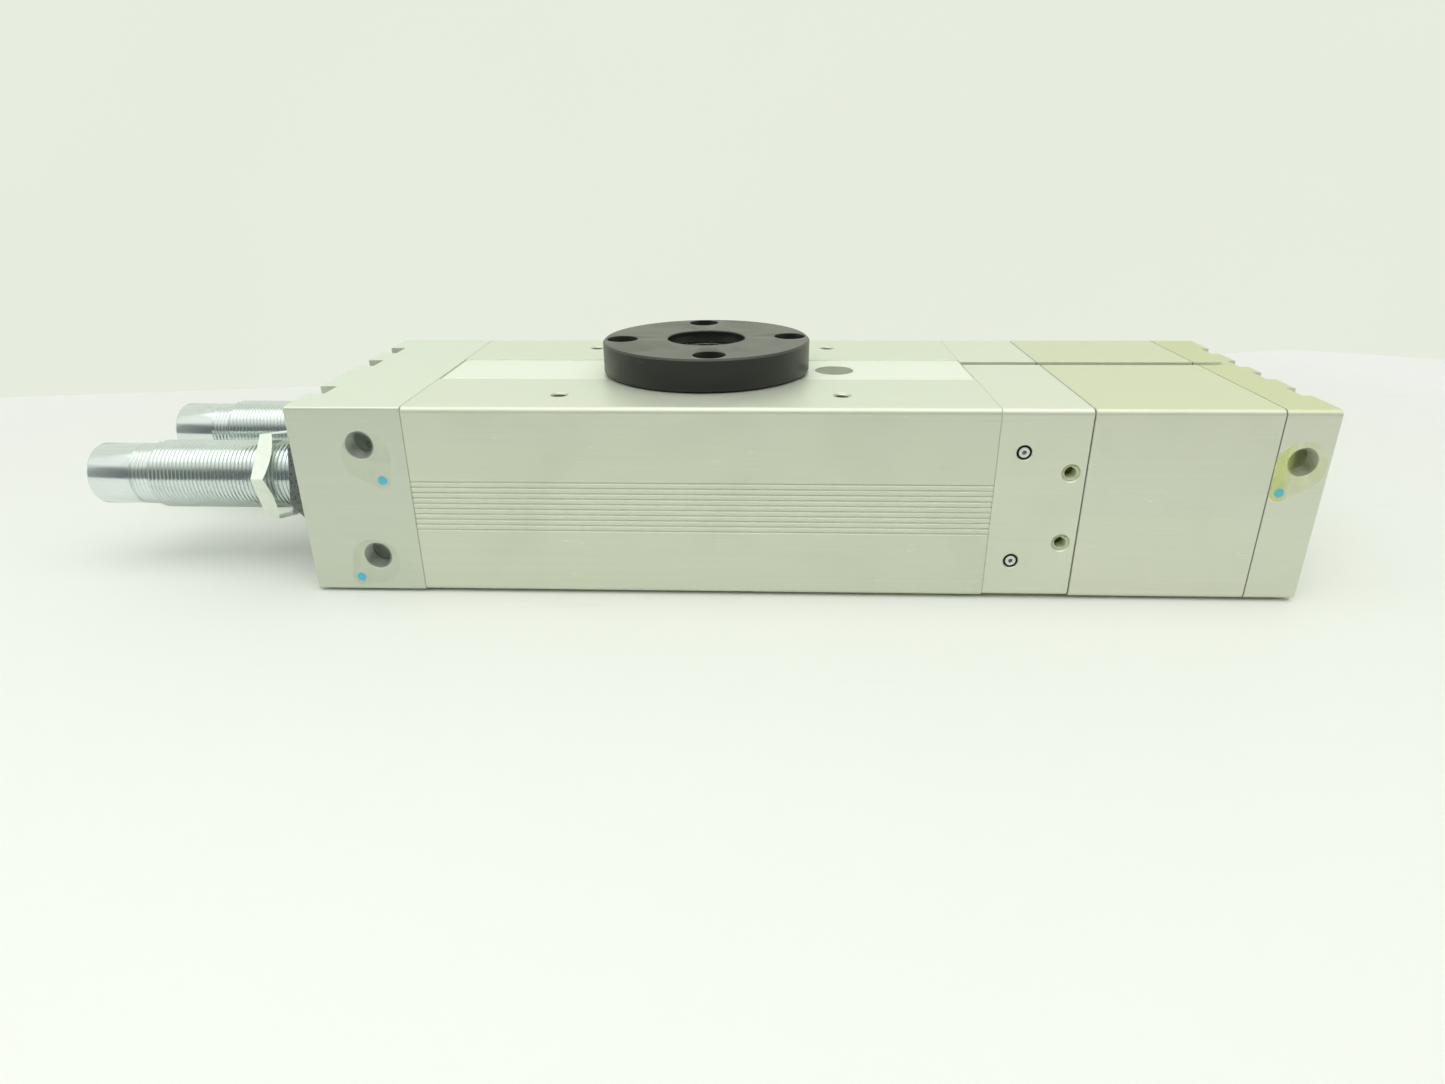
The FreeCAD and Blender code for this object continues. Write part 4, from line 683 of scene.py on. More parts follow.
def bright_metal(name, colour, roughness, metallic=1.0, stretch=(900, 900, 900)):
    """Plated or ground metal with a fine grain, faint stains and polished edges."""
    material, tree, shader = new_material(name)
    grain = effect(tree, "drawn grain", Stretch=stretch, Contrast=0.9)["Grain"]
    stain = effect(tree, "smudges", Scale=90.0, Threshold=0.50)["Mask"]
    scratch = effect(tree, "scratches", Scale=2.5, Width=0.004)["Mask"]
    edges = effect(tree, "edge wear and highlight", Radius=0.15 * MM, Breakup=0.40)
    # The edges are lightened: worn metal, and partly a painted highlight.
    shade = layered(
        tree, colour, toned(tree, colour, grain, 0.88, 1.08),
        (stain, 0.3, 0.78), (scratch, 0.3, 1.2), (edges["Mask"], 0.6, 1.3))
    rough = spread(tree, grain, 0.2, 0.8, roughness * 0.85, roughness * 1.2)
    rough = plus_share(tree, rough, stain, 0.09)
    feed(tree, shader, {"Base Color": shade, "Metallic": metallic, "Roughness": rough})
    bump(tree, shader, grain, 0.004 * MM, edges["Normal"], 0.5)
    return material


def grained_sleeve(name, colour):
    """Dull grey sleeve with a coarse, dark-flecked grain."""
    material, tree, shader = new_material(name)
    speckle = effect(tree, "speckle", Scale=1350.0)
    lines = effect(tree, "drawn grain", Stretch=(2600, 500, 500), Contrast=1.8)["Grain"]
    edges = effect(tree, "edge wear and highlight", Radius=0.2 * MM, Breakup=0.4)
    # The edges are lightened: worn metal, and partly a painted highlight.
    shade = layered(
        tree, colour, toned(tree, colour, speckle["Mask"], 0.3, 1.8),
        (lines, 0.5, 0.6), (edges["Mask"], 0.6, 3.0))
    feed(tree, shader, {
        "Base Color": shade, "Metallic": 0.7,
        "Roughness": spread(tree, speckle["Height"], 0.3, 0.7, 0.42, 0.62)})
    bump(tree, shader, speckle["Height"], 0.05 * MM, edges["Normal"], 0.8)
    return material


def moulded(name, colour, roughness, grain_scale=1500.0, depth=0.02 * MM, shine=0.5):
    """Rubber or plastic with a fine moulded grain and pale handling marks."""
    material, tree, shader = new_material(name)
    speckle = effect(tree, "speckle", Scale=grain_scale)
    stain = effect(tree, "smudges", Scale=70.0, Threshold=0.48)["Mask"]
    base = toned(tree, colour, speckle["Mask"], 0.8, 1.15)
    shade = layered(tree, colour, base, (stain, 0.35, 1.5))
    feed(tree, shader, {
        "Base Color": shade, "Specular IOR Level": shine,
        "Roughness": spread(tree, stain, 0.0, 1.0, roughness, roughness + 0.12)})
    bump(tree, shader, speckle["Height"], depth)
    return material


def clear_film(name, colour, yellowed=None):
    """Thin clear film with faint wrinkles; left of X = yellowed it is thicker with old glue."""
    material, tree, shader = new_material(name)
    wrinkle = effect(tree, "drawn grain", Stretch=(260, 260, 90), Contrast=1.6)["Grain"]
    stain = effect(tree, "smudges", Scale=80.0, Threshold=0.42)["Mask"]
    cover = spread(tree, stain, 0.0, 1.0, 0.04, 0.11)
    if yellowed is not None:
        place = coordinate(tree, object_place(tree), "X")
        glue = spread(tree, place, yellowed - 2.5 * MM, yellowed - 6 * MM, 0.0, 0.26)
        cover = calc(tree, "ADD", cover, glue)
    feed(tree, shader, {
        "Base Color": toned(tree, colour, stain, 1.15, 0.95),
        "Roughness": spread(tree, wrinkle, 0.2, 0.8, 0.10, 0.24),
        "Specular IOR Level": 0.35, "Alpha": cover})
    bump(tree, shader, wrinkle, 0.03 * MM, strength=0.6)
    return material


def printed_dot(name, colour):
    """Flat ink on the film, slightly uneven."""
    material, tree, shader = new_material(name)
    speckle = effect(tree, "speckle", Scale=3200.0)
    stain = effect(tree, "smudges", Scale=400.0, Threshold=0.45)["Mask"]
    base = toned(tree, colour, speckle["Mask"], 0.9, 1.12)
    shade = layered(tree, colour, base, (stain, 0.3, 1.35))
    feed(tree, shader, {
        "Base Color": shade, "Roughness": spread(tree, speckle["Height"], 0.3, 0.7, 0.3, 0.42)})
    return material


def finishes(scene):
    """A material for each slot that isn't a housing's, and for the threads and films."""
    colours, film = scene.drive_finish, scene.drive_film
    last_port_x = MOUNTS["stop_retract_port"]["pos_m"][0]
    alloy_marks = (1500, 200, 200)
    return {
        "black_flange": black_flange("black oxide", colours.flange, colours.flange_top_sheen),
        "zinc_thread": bright_metal("bright zinc", colours.zinc, 0.15, stretch=(90, 1100, 1100)),
        "zinc_nut": bright_metal("dull zinc", (0.85, 0.91, 0.81), 0.36, 0.5, (600, 1100, 1100)),
        "dark_sleeve": grained_sleeve("grained sleeve", (0.12, 0.14, 0.125)),
        "screw_zinc": bright_metal("zinc screws", (0.70, 0.73, 0.70), 0.30),
        "hard_steel": bright_metal("ground steel", (0.62, 0.62, 0.60), 0.24),
        "spring_steel": bright_metal("spring steel", (0.30, 0.30, 0.29), 0.34),
        "piston_alloy": bright_metal("turned alloy", (0.74, 0.75, 0.73), 0.32, 1.0, alloy_marks),
        "black_rubber": moulded("black rubber", (0.009, 0.009, 0.009), 0.55, shine=0.2),
        "grey_plastic": moulded("grey plastic", (0.16, 0.165, 0.16), 0.45, 2200.0, 0.008 * MM),
        "bronze_bush": bright_metal("sintered bronze", (0.55, 0.38, 0.20), 0.36),
        "plug_alloy": bright_metal("plug alloy", (0.35, 0.38, 0.29), 0.42, 0.8),
        # The threads in the ports are darker than the caps' metal: painted shade inside the ports.
        "port_thread": bright_metal("port thread", (0.30, 0.32, 0.29), 0.36, 0.9),
        "small_port_thread": bright_metal("small port thread", (0.66, 0.71, 0.46), 0.42, 0.4),
        "hole_thread": bright_metal("hole thread", (0.62, 0.66, 0.55), 0.34, 0.9),
        "film": clear_film("clear film", film.tint),
        "old_film": clear_film("yellowed film", film.old_tint, last_port_x),
        "dot": printed_dot("printed dot", film.dot),
    }


FINISHES = {}


def dress(piece, slot_name, body, finish=None):
    """Gives a new piece its finish, picked by the slot's name unless another finish is named, and
    the body it moves with.
    """
    piece.data.materials.clear()
    piece.data.materials.append(FINISHES[finish or slot_name])
    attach(piece, body)


def paint_node(node_name, material):
    mesh = frame["nodes"][node_name].data
    if not mesh.materials:
        mesh.materials.append(material)
    for index in range(len(mesh.materials)):
        mesh.materials[index] = material


# --- Pieces --------------------------------------------------------------------------------
class DRIVE_OT_housings(bpy.types.Operator):
    """Finish the aluminium housings, each with painted seam shade only in the seams it has"""
    bl_idname = "drive.housings"
    bl_label = "Finish housings"

    def execute(self, context):
        tones = context.scene.drive_finish
        left, right = BODY_LOW.x, BODY_HIGH.x
        module_left, module_right = (corner.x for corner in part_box("module_housing"))
        nowhere = left - 1.0
        dark = (0.36 * MM, tones.seam)
        faint = (0.3 * MM, tones.faint_seam)
        cap_bores = self.bores(CAP_PORTS, tones.port)
        small_bores = self.bores(SMALL_PORTS, tones.small_port)
        rows = (
            ("main_housing", tones.body, (left, right) + faint, tones.strip, tones.body_top_light, ()),
            ("absorber_end_cap", tones.cap, (nowhere, left) + faint, None, tones.left_top_light,
             cap_bores),
            ("adapter_plate", tones.plate, (nowhere, module_left) + dark, None, tones.plate_top_light,
             small_bores),
            ("module_housing", tones.module, (module_left, module_right) + dark, None,
             tones.module_top_light, ()),
            ("module_end_cap", tones.module, (module_right, nowhere) + dark, None, tones.cap_top_light,
             cap_bores),
        )
        for node_name, *looks in rows:
            paint_node(node_name, aluminium("anodised " + node_name, *looks))
        return {"FINISHED"}

    def bores(self, names, inner):
        places = [(name, MOUNTS[name]["pos_m"]) for name in names]
        return [(place[0], place[2], dim(name, "r_mm"), inner) for name, place in places]


class DRIVE_OT_small_parts(bpy.types.Operator):
    """Finish every other part of the construction frame with the material of its slot"""
    bl_idname = "drive.small_parts"
    bl_label = "Finish small parts"

    def execute(self, context):
        for node_name, slot_name in SLOT_OF_NODE.items():
            if slot_name in FINISHES:
                paint_node(node_name, FINISHES[slot_name])
        return {"FINISHED"}


class DRIVE_OT_absorbers(bpy.types.Operator):
    """Model the two absorber bodies with their real helical thread"""
    bl_idname = "drive.absorbers"
    bl_label = "Model absorbers"

    def execute(self, context):
        for side in SIDES:
            self.model(context.scene.drive_absorber, side)
        return {"FINISHED"}

    def model(self, sizes, side):
        node_name = side + "_absorber_body"
        low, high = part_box(node_name)
        length = high.x - low.x
        crest = (high.z - low.z) / 2
        root = crest - sizes.depth
        smooth_radius = crest - sizes.smooth_step
        run_in_depth = 0.5 * MM
        run_in_root = smooth_radius - run_in_depth
        slope = 0.3 * MM
        chamfer = sizes.chamfer
        start = sizes.smooth_length
        step = start + sizes.run_in * sizes.pitch
        end = step + (sizes.turns + 0.3) * sizes.pitch
        tube_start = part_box(side + "_pressure_tube")[0].x - low.x
        bore = sizes.mouth_bore / 2
        socket_rim = sizes.socket_flats / 2 + 1.2 * MM
        socket_floor = sizes.socket_depth + 1 * MM
        body = turned(side + "_absorber_shell", [
            (0.0, socket_rim),
            (0.0, smooth_radius - chamfer),
            (0.3 * chamfer, smooth_radius - 0.3 * chamfer),
            (chamfer, smooth_radius),
            (start, smooth_radius),
            (start + slope, run_in_root),
            (step, run_in_root),
            (step + 2 * slope, root),
            (end, root),
            (end + chamfer, crest),
            (length - chamfer, crest),
            (length, crest - chamfer),
            (length, bore),
            (tube_start, bore),
            (tube_start, sizes.rod_room),
            (socket_floor, sizes.rod_room),
            (socket_floor, socket_rim),
        ], "X", 96)
        run_in = helix_ridge(
            "run_in", run_in_root, run_in_depth, sizes.pitch, sizes.run_in, sizes.steps)
        move(run_in, (start + 0.2 * MM, 0, 0))
        thread = helix_ridge("thread", root, sizes.depth, sizes.pitch, sizes.turns, sizes.steps)
        move(thread, (step, 0, 0))
        body = join([body, run_in, thread, self.socket_insert(sizes, socket_rim)])
        move(body, (low.x, (low.y + high.y) / 2, (low.z + high.z) / 2))
        smooth(body, 35)
        dress(body, "zinc_thread", side + "_absorber")
        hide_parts(node_name)

    def socket_insert(self, sizes, rim):
        """Round plug with the hexagonal adjusting socket in its face."""
        overlap = 0.02 * MM
        recess = 0.3 * MM
        insert = rod(
            "socket", rim + overlap, (recess, 0, 0), (sizes.socket_depth + 1.2 * MM, 0, 0), 96)
        corner = sizes.socket_flats / math.sqrt(3)
        combine(insert, rod("hexagon", corner, (-BEYOND, 0, 0), (sizes.socket_depth, 0, 0), 6))
        return insert


class DRIVE_OT_return_springs(bpy.types.Operator):
    """Coil the return springs at their length in the frame; in the drive they shorten as the
    buffers are pushed in
    """
    bl_idname = "drive.return_springs"
    bl_label = "Coil return springs"

    def execute(self, context):
        for side in SIDES:
            self.coil(context.scene.drive_spring, side)
        return {"FINISHED"}

    def coil(self, sizes, side):
        node_name = side + "_return_spring"
        low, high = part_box(node_name)
        middle = (low + high) / 2
        coil_radius = (high.z - low.z - sizes.wire) / 2
        length = high.x - low.x - sizes.wire
        turns = length / sizes.pitch
        wire_sides = 14
        clear_selection()
        bpy.ops.mesh.primitive_circle_add(
            vertices=wire_sides, radius=sizes.wire / 2, location=(0, 0, coil_radius),
            rotation=(math.radians(90), 0, 0))
        spring = added(side + "_spring_coil")
        settle(spring)
        steps = round(28 * turns)
        apply_modifier(
            spring, "SCREW", axis="X", angle=2 * math.pi * turns, steps=steps, render_steps=steps,
            screw_offset=length)
        close_up(spring, wire_sides)
        move(spring, (low.x + sizes.wire / 2, middle.y, middle.z))
        smooth(spring, 50)
        dress(spring, "spring_steel", side + "_absorber")
        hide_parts(node_name)
        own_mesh(spring)


class DRIVE_OT_flange(bpy.types.Operator):
    """Turn and drill the output flange"""
    bl_idname = "drive.flange"
    bl_label = "Model flange"

    def execute(self, context):
        sizes = context.scene.drive_flange
        low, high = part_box("output_flange")
        radius = (high.x - low.x) / 2
        chamfer = sizes.chamfer
        seat = sizes.shaft_diameter / 2 + 0.05 * MM
        lip = dim("flange_centring_bore", "r_mm")
        shaft_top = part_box("pinion_shaft")[1].z
        flange = turned("turned_flange", [
            (low.z, seat), (low.z, radius - chamfer), (low.z + chamfer, radius),
            (high.z - chamfer, radius), (high.z, radius - chamfer), (high.z, lip + chamfer / 2),
            (high.z - chamfer / 2, lip), (shaft_top, lip), (shaft_top, seat),
        ], "Z", 192)
        count = MOUNTS["flange_threads"]["dims"]["count"]
        hole_places = round_places(count, dim("flange_threads", "pcd_mm") / 2, sizes.turn)
        key_places = round_places(count, sizes.shaft_diameter / 2, sizes.turn + math.pi / count)
        top = high.z + BEYOND
        drills = (
            (hole_places, dim("flange_threads", "hole_r_mm"), low.z - BEYOND, top),
            (hole_places, dim("flange_sleeve_seats", "hole_r_mm"),
             high.z - sizes.sleeve_depth, top),
            (key_places, sizes.key_diameter / 2, low.z + 0.2 * MM, shaft_top),
        )
        for places, hole_radius, start, end in drills:
            for x, y in places:
                combine(flange, rod("drill", hole_radius, (x, y, start), (x, y, end), 72))
        round_edges(flange, sizes.edge, angle_limit=math.radians(60))
        smooth(flange, 25)
        dress(flange, "black_flange", "output")
        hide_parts("output_flange")
        return {"FINISHED"}


class DRIVE_OT_collars(bpy.types.Operator):
    """Model the two lock nuts, with chamfered faces, and the two plain stop sleeves"""
    bl_idname = "drive.collars"
    bl_label = "Model nuts and sleeves"

    def execute(self, context):
        sizes = context.scene.drive_collars
        rows = (
            ("lock_nut", "zinc_nut", sizes.nut_flats, sizes.nut_turn, True),
            ("stop_sleeve", "dark_sleeve", sizes.sleeve_flats, sizes.sleeve_turn, False),
        )
        for label, slot_name, flats, angle, chamfered in rows:
            low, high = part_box(label + "s")
            model = self.hex_collar(sizes, flats, high.x - low.x, chamfered)
            turn(model, math.degrees(angle), "X")
            for side in SIDES:
                body_low, body_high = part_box(side + "_absorber_body")
                middle = (body_low + body_high) / 2
                piece = copy_of(model, side + "_" + label)
                move(piece, (low.x, middle.y, middle.z))
                dress(piece, slot_name, "housing")
                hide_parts(label + "s")
            bpy.data.objects.remove(model)
        return {"FINISHED"}

    def hex_collar(self, sizes, flats, width, chamfered):
        """Bored hexagon along X from X = 0."""
        absorber_low, absorber_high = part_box("front_absorber_body")
        bore = (absorber_high.z - absorber_low.z) / 2 + sizes.play
        corner = flats / math.sqrt(3)
        collar = rod("collar", corner, (0, 0, 0), (width, 0, 0), 6)
        if chamfered:
            face = flats / 2 * sizes.face_share
            outer_drop = (corner - face) * math.tan(sizes.outer_chamfer)
            inner_drop = (corner - face) * math.tan(sizes.inner_chamfer)
            cone = self.turned_cutter(bore, 0.5, [
                (0, face), (outer_drop, corner), (width - inner_drop, corner), (width, face)])
            combine(collar, cone, "INTERSECT")
        wide = bore + BEYOND + sizes.mouth
        throat = self.turned_cutter(bore, 0.2, [
            (-BEYOND, wide), (sizes.mouth, bore), (width - sizes.mouth, bore),
            (width + BEYOND, wide)])
        combine(collar, throat)
        round_edges(collar, sizes.edge, angle_limit=math.radians(22))
        smooth(collar, 30)
        return collar

    def turned_cutter(self, bore, core_share, outside):
        """Solid turned shape about X: a shell, hollow to a share of the bore, and its core."""
        start, end = outside[0][0], outside[-1][0]
        hollow = bore * core_share
        cutter = turned("cutter", [(start, hollow), *outside, (end, hollow)], "X", 144)
        combine(cutter, rod("core", bore * 0.7, (start, 0, 0), (end, 0, 0), 48), "UNION")
        return cutter


class DRIVE_OT_hole_threads(bpy.types.Operator):
    """Wind the thread ridges into the ports, the mounting holes and the flange's holes"""
    bl_idname = "drive.hole_threads"
    bl_label = "Wind hole threads"

    def execute(self, context):
        sizes = context.scene.drive_holes
        self.wind_ports(CAP_PORTS, sizes.port_pitch, "port_thread")
        self.wind_ports(SMALL_PORTS, sizes.small_port_pitch, "small_port_thread")
        self.wind_mounting_holes(sizes)
        self.wind_flange_holes(sizes.flange_pitch, context.scene.drive_flange.turn)
        return {"FINISHED"}

    def ridge(self, radius, pitch, depth, axis):
        """Ridge with its foot in a hole's wall, which goes in from zero after a turn."""
        turns = int((depth - pitch) / pitch)
        piece = helix_ridge("ridge", radius, 0.55 * pitch, pitch, turns, 32, inwards=True)
        move(piece, (-(turns + 0.8) * pitch, 0, 0))
        smooth(piece, 35)
        turn(piece, -90, axis)
        return piece

    def copies(self, model, name, places):
        """One piece that has a copy of the model at each place."""
        pieces = []
        for place in places:
            pieces.append(copy_of(model, name))
            move(pieces[-1], place)
        return join(pieces)

    def wind_ports(self, names, pitch, finish):
        model = self.ridge(dim(names[0], "r_mm"), pitch, dim(names[0], "length_mm"), "Z")
        for name in names:
            place = MOUNTS[name]["pos_m"]
            piece = self.copies(model, name + "_thread", [(place[0], BODY_LOW.y, place[2])])
            dress(piece, "anodised_cap", "housing", finish)
        bpy.data.objects.remove(model)

    def wind_mounting_holes(self, sizes):
        model = self.ridge(
            dim("top_threads", "hole_r_mm"), sizes.mount_pitch, sizes.mount_depth, "Y")
        places = [
            (x_way * dim("top_threads", "spacing_x_mm") / 2,
             y_way * dim("top_threads", "spacing_y_mm") / 2)
            for x_way in (-1, 1) for y_way in (-1, 1)]
        name = "mounting_hole_threads"
        upper = self.copies(model, name, [(x, y, BODY_HIGH.z) for x, y in places])
        turn(model, 180, "X")
        lower = self.copies(model, "lower_threads", [(x, y, BODY_LOW.z) for x, y in places])
        bpy.data.objects.remove(model)
        dress(join([upper, lower]), "anodised_body", "housing", "hole_thread")

    def wind_flange_holes(self, pitch, first_angle):
        dims = MOUNTS["flange_threads"]["dims"]
        seat = MOUNTS["flange_threads"]["pos_m"][2]
        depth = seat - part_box("output_flange")[0].z
        model = self.ridge(dim("flange_threads", "hole_r_mm"), pitch, depth, "Y")
        places = round_places(dims["count"], dims["pcd_mm"] / 2 * MM, first_angle)
        threads = self.copies(model, "flange_hole_threads", [(x, y, seat) for x, y in places])
        bpy.data.objects.remove(model)
        dress(threads, "black_flange", "output")


class DRIVE_OT_port_films(bpy.types.Operator):
    """Lay the clear films with their blue dots over the large ports"""
    bl_idname = "drive.port_films"
    bl_label = "Lay port films"

    def execute(self, context):
        sizes = context.scene.drive_film
        # From the port's middle, across and up in millimetres: the film's round part, its dot.
        layouts = {
            "front_chamber_port": ((1.6, -3.9), (6.3, -12.8), "film"),
            "rear_chamber_port": ((-0.9, -2.2), (-7.4, -8.6), "film"),
            "stop_retract_port": ((-0.4, -1.6), (-5.4, -10.8), "old_film"),
        }
        for name, (middle, dot, finish) in layouts.items():
            self.lay_film(sizes, name, middle, dot, finish)
            self.print_dot(sizes, name, dot)
        return {"FINISHED"}

    def disc(self, piece_name, port_name, offset, radius, start, thickness, vertices):
        """Disc on the front face at an offset from a port, from start outwards."""
        port = MOUNTS[port_name]["pos_m"]
        x, z = port[0] + offset[0] * MM, port[2] + offset[1] * MM
        return rod(piece_name, radius, (x, start, z), (x, start - thickness, z), vertices)

    def lay_film(self, sizes, name, middle, dot, finish):
        """Two discs in one hull: the round part and the pull tab under the dot."""
        rounds = ((middle, sizes.radius), (dot, sizes.tail_radius))
        film = join([
            self.disc(name + "_film", name, offset, radius, self.face(), sizes.thickness, 96)
            for offset, radius in rounds])
        edit(film, (bpy.ops.mesh.convex_hull, {}))
        smooth(film, 30)
        dress(film, "grey_plastic", "housing", finish)

    def print_dot(self, sizes, name, dot):
        start = self.face() - sizes.thickness
        ink = self.disc(name + "_dot", name, dot, sizes.dot_radius, start, sizes.ink, 64)
        round_edges(ink, 0.4 * sizes.ink, 1)
        dress(ink, "grey_plastic", "housing", "dot")

    def face(self):
        """Where the films begin, just clear of the metal."""
        return BODY_LOW.y - 0.01 * MM


# --- Stage ---------------------------------------------------------------------------------
def mixed(tree, share, first, second):
    """Shader that goes from first to second as the share goes from 0 to 1."""
    return shader_node(tree, "MixShader", {0: share, 1: first, 2: second}).outputs[0]


def shown_plain(tree, shader, colour, share):
    """Lets the camera and mirrors see a backdrop at its written colour, by share."""
    glow = shader_node(tree, "Emission", {"Color": colour, "Strength": 1.0}).outputs[0]
    path = shader_node(tree, "LightPath").outputs
    seen = calc(tree, "MAXIMUM", path["Is Camera Ray"], path["Is Glossy Ray"])
    seen = calc(tree, "MAXIMUM", seen, path["Is Transmission Ray"])
    return mixed(tree, calc(tree, "MULTIPLY", seen, share), shader.outputs[0], glow)


def floor_material(name, colour):
    """Board that shows the object's shadow, and is plain further away from it."""
    material, tree, shader = new_material(name)
    stain = effect(tree, "smudges", Scale=3.0, Threshold=0.45)["Mask"]
    scratch = effect(tree, "scratches", Scale=0.12, Width=0.0016)["Mask"]
    shade = layered(tree, colour, solid(colour), (stain, 0.35, 0.975), (scratch, 0.12, 0.8))
    feed(tree, shader, {"Base Color": shade, "Roughness": 0.5, "Specular IOR Level": 0.15})
    away = spread(tree, vector_calc(tree, "LENGTH", object_place(tree)), 0.25, 0.55, 0.0, 0.85)
    surface = shown_plain(tree, shader, shade, away)
    feed(tree, tree.nodes["Material Output"], {"Surface": surface})
    return material


def wall_material(name, colour):
    """Faintly stained wall that can be seen through from behind."""
    material, tree, shader = new_material(name)
    stain = effect(tree, "smudges", Scale=2.2, Threshold=0.45)["Mask"]
    shade = layered(tree, colour, solid(colour), (stain, 0.4, 0.975))
    feed(tree, shader, {"Base Color": shade, "Roughness": 0.8})
    behind = shader_node(tree, "NewGeometry").outputs["Backfacing"]
    clear = shader_node(tree, "BsdfTransparent").outputs[0]
    surface = mixed(tree, behind, shown_plain(tree, shader, shade, 1.0), clear)
    feed(tree, tree.nodes["Material Output"], {"Surface": surface})
    return material


class DRIVE_OT_stage(bpy.types.Operator):
    """Build the floor, the back wall, the room light, the lamps and the camera"""
    bl_idname = "drive.stage"
    bl_label = "Build stage"

    def execute(self, context):
        settings = context.scene.drive_stage
        floor_height = CAD_BOX[0].z - settings.gap
        self.build_floor(floor_height, settings.floor)
        self.build_wall(floor_height, settings.wall)
        self.light_room(context.scene, settings)
        self.hang_lamps(settings)
        self.place_camera(context.scene, settings.lens)
        return {"FINISHED"}

    def build_floor(self, height, colour):
        clear_selection()
        bpy.ops.mesh.primitive_plane_add(size=1.0, location=(0, 0.65, height))
        floor = added("floor")
        floor.scale = (4.0, 2.7, 1.0)
        settle(floor)
        floor.data.materials.append(floor_material("pale board", colour))

    def build_wall(self, height, colour):
        """Upright board behind the object, folded forwards at its right-hand corner."""
        foot = [(-1.60, -0.05), (-0.49, 0.222), (0.343, 0.356), (0.439, 0.383), (1.40, 0.0)]
        wall = drawn_line("back_wall", [(x, y, height) for x, y in foot], closed=False)
        upwards = {"TRANSFORM_OT_translate": {"value": (0, 0, 1.2)}}
        edit(wall, (bpy.ops.mesh.extrude_region_move, upwards))
        if wall.data.polygons[0].normal.y > 0:
            edit(wall, (bpy.ops.mesh.flip_normals, {}))
        wall.data.materials.append(wall_material("pale wall", colour))

    def light_room(self, scene, settings):
        """Light from all round, dimmer from in front, so that metal has something to mirror."""
        scene.world = bpy.data.worlds.new("room")
        scene.world.use_nodes = True
        tree = scene.world.node_tree
        direction = shader_node(tree, "TexCoord").outputs["Generated"]
        parts = shader_node(tree, "SeparateXYZ", {0: direction}).outputs
        from_front = spread(tree, parts["Y"], -0.8, 0.1, 0.45, 1.0)
        from_above = spread(tree, parts["Z"], 0.42, 0.62, 0.0, 0.6)
        forwards = calc(tree, "MAXIMUM", calc(tree, "MULTIPLY", parts["Y"], -1.0), 0.05)
        low = spread(tree, calc(tree, "DIVIDE", parts["Z"], forwards), 1.15, 0.8)
        facing = spread(tree, parts["Y"], -0.15, -0.5)
        dark_room = calc(tree, "MULTIPLY", calc(tree, "MULTIPLY", low, facing), 0.38)
        level = calc(tree, "ADD", from_front, from_above, clamp=True)
        level = calc(tree, "SUBTRACT", level, dark_room, clamp=True)
        colour = blended(tree, level, (0.10, 0.115, 0.12, 1), (0.97, 1.0, 0.93, 1))
        path = shader_node(tree, "LightPath").outputs
        mirrored = calc(tree, "MAXIMUM", path["Is Glossy Ray"], path["Is Transmission Ray"])
        lamp_image = calc(tree, "MULTIPLY", spread(tree, parts["Z"], 0.78, 0.9), mirrored)
        strength = calc(
            tree, "ADD", spread(tree, mirrored, 0.0, 1.0, settings.sky, 1.0), lamp_image)
        lit = shader_node(tree, "Background", {"Color": colour, "Strength": strength})
        backdrop = shader_node(tree, "Background", {"Color": solid(settings.wall)})
        surface = mixed(tree, path["Is Camera Ray"], lit.outputs[0], backdrop.outputs[0])
        feed(tree, tree.nodes["World Output"], {"Surface": surface})

    def hang_lamps(self, settings):
        """Two soft lamps that metal doesn't mirror: it mirrors the room instead."""
        rows = (
            ("overhead", settings.overhead, 5.0, (-0.05, 0.0, 2.2), (0.0, 0.0, 0.0)),
            ("fill", settings.fill, 0.5, (-0.5, -0.9, 0.7), (0.0, 0.0, 0.03)),
        )
        for name, power, width, place, target in rows:
            clear_selection()
            bpy.ops.object.light_add(type="AREA", location=place)
            lamp = bpy.context.object
            lamp.name = name + "_lamp"
            lamp.data.energy = power
            lamp.data.size = width
            lamp.visible_glossy = False
            towards = Vector(target) - Vector(place)
            lamp.rotation_euler = towards.to_track_quat("-Z", "Y").to_euler()

    def place_camera(self, scene, lens):
        place = (0.0216595, -0.3547647, 0.1490033)
        heading, downwards, roll = 0.0452312, 0.4101422, -0.0086793
        clear_selection()
        bpy.ops.object.camera_add()
        camera = bpy.context.object
        camera.name = "camera"
        camera.data.sensor_width = 36
        camera.data.lens = lens
        camera.data.clip_start = 0.01
        camera.matrix_world = (
            Matrix.Translation(place)
            @ Matrix.Rotation(heading, 4, "Z")
            @ Matrix.Rotation(math.pi / 2 - downwards, 4, "X")
            @ Matrix.Rotation(roll, 4, "Z"))
        scene.camera = camera
        scene.view_settings.view_transform = "Standard"


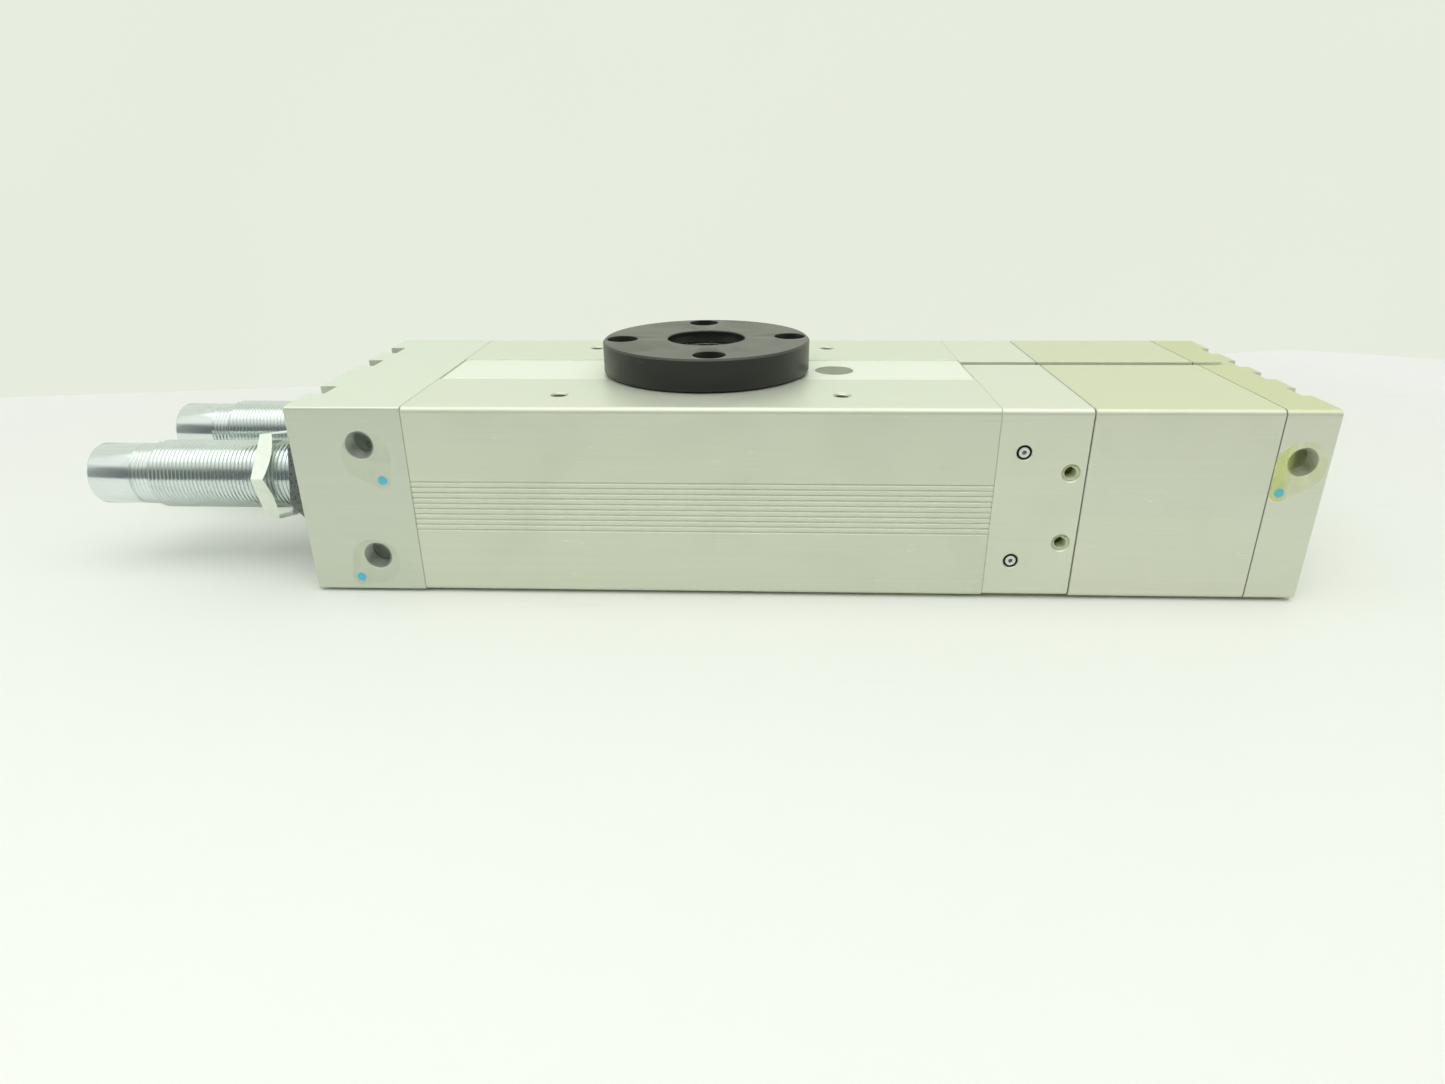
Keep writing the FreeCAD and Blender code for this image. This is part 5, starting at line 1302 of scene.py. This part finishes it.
# --- Panel and registration ----------------------------------------------------------------
SETTINGS = (
    (AbsorberSettings, "drive_absorber", "Absorbers"),
    (SpringSettings, "drive_spring", "Return springs"),
    (CollarSettings, "drive_collars", "Nuts and sleeves"),
    (FlangeSettings, "drive_flange", "Flange"),
    (HoleSettings, "drive_holes", "Threaded holes"),
    (FilmSettings, "drive_film", "Port films"),
    (FinishSettings, "drive_finish", "Finishes"),
    (StageSettings, "drive_stage", "Stage"),
)
OPERATORS = (
    DRIVE_OT_stage,
    DRIVE_OT_housings,
    DRIVE_OT_small_parts,
    DRIVE_OT_absorbers,
    DRIVE_OT_return_springs,
    DRIVE_OT_collars,
    DRIVE_OT_flange,
    DRIVE_OT_hole_threads,
    DRIVE_OT_port_films,
)


class DRIVE_PT_panel(bpy.types.Panel):
    """Sizes, colours and steps of the drive"""
    bl_idname = "DRIVE_PT_panel"
    bl_label = "Semi-Rotary Drive"
    bl_space_type = "VIEW_3D"
    bl_region_type = "UI"
    bl_category = "Drive"

    def draw(self, context):
        layout = self.layout
        for group_class, name, title in SETTINGS:
            box = layout.box()
            box.label(text=title)
            for key in group_class.__annotations__:
                box.prop(getattr(context.scene, name), key)
        for operator in OPERATORS:
            layout.operator(operator.bl_idname)


def register():
    for group_class, name, title in SETTINGS:
        bpy.utils.register_class(group_class)
        setattr(bpy.types.Scene, name, bpy.props.PointerProperty(type=group_class, name=title))
    for shown_class in (*OPERATORS, DRIVE_PT_panel):
        bpy.utils.register_class(shown_class)


def unregister():
    for shown_class in reversed((*OPERATORS, DRIVE_PT_panel)):
        bpy.utils.unregister_class(shown_class)
    for group_class, name, title in SETTINGS:
        delattr(bpy.types.Scene, name)
        bpy.utils.unregister_class(group_class)


def main():
    register()
    for name, inputs, fill in EFFECT_BUILDERS:
        build_effect(name, inputs, fill)
    FINISHES.update(finishes(bpy.context.scene))
    bpy.ops.drive.stage()
    bpy.ops.drive.housings()
    bpy.ops.drive.small_parts()
    bpy.ops.drive.absorbers()
    bpy.ops.drive.return_springs()
    bpy.ops.drive.collars()
    bpy.ops.drive.flange()
    bpy.ops.drive.hole_threads()
    bpy.ops.drive.port_films()


if __name__ == "__main__":
    main()
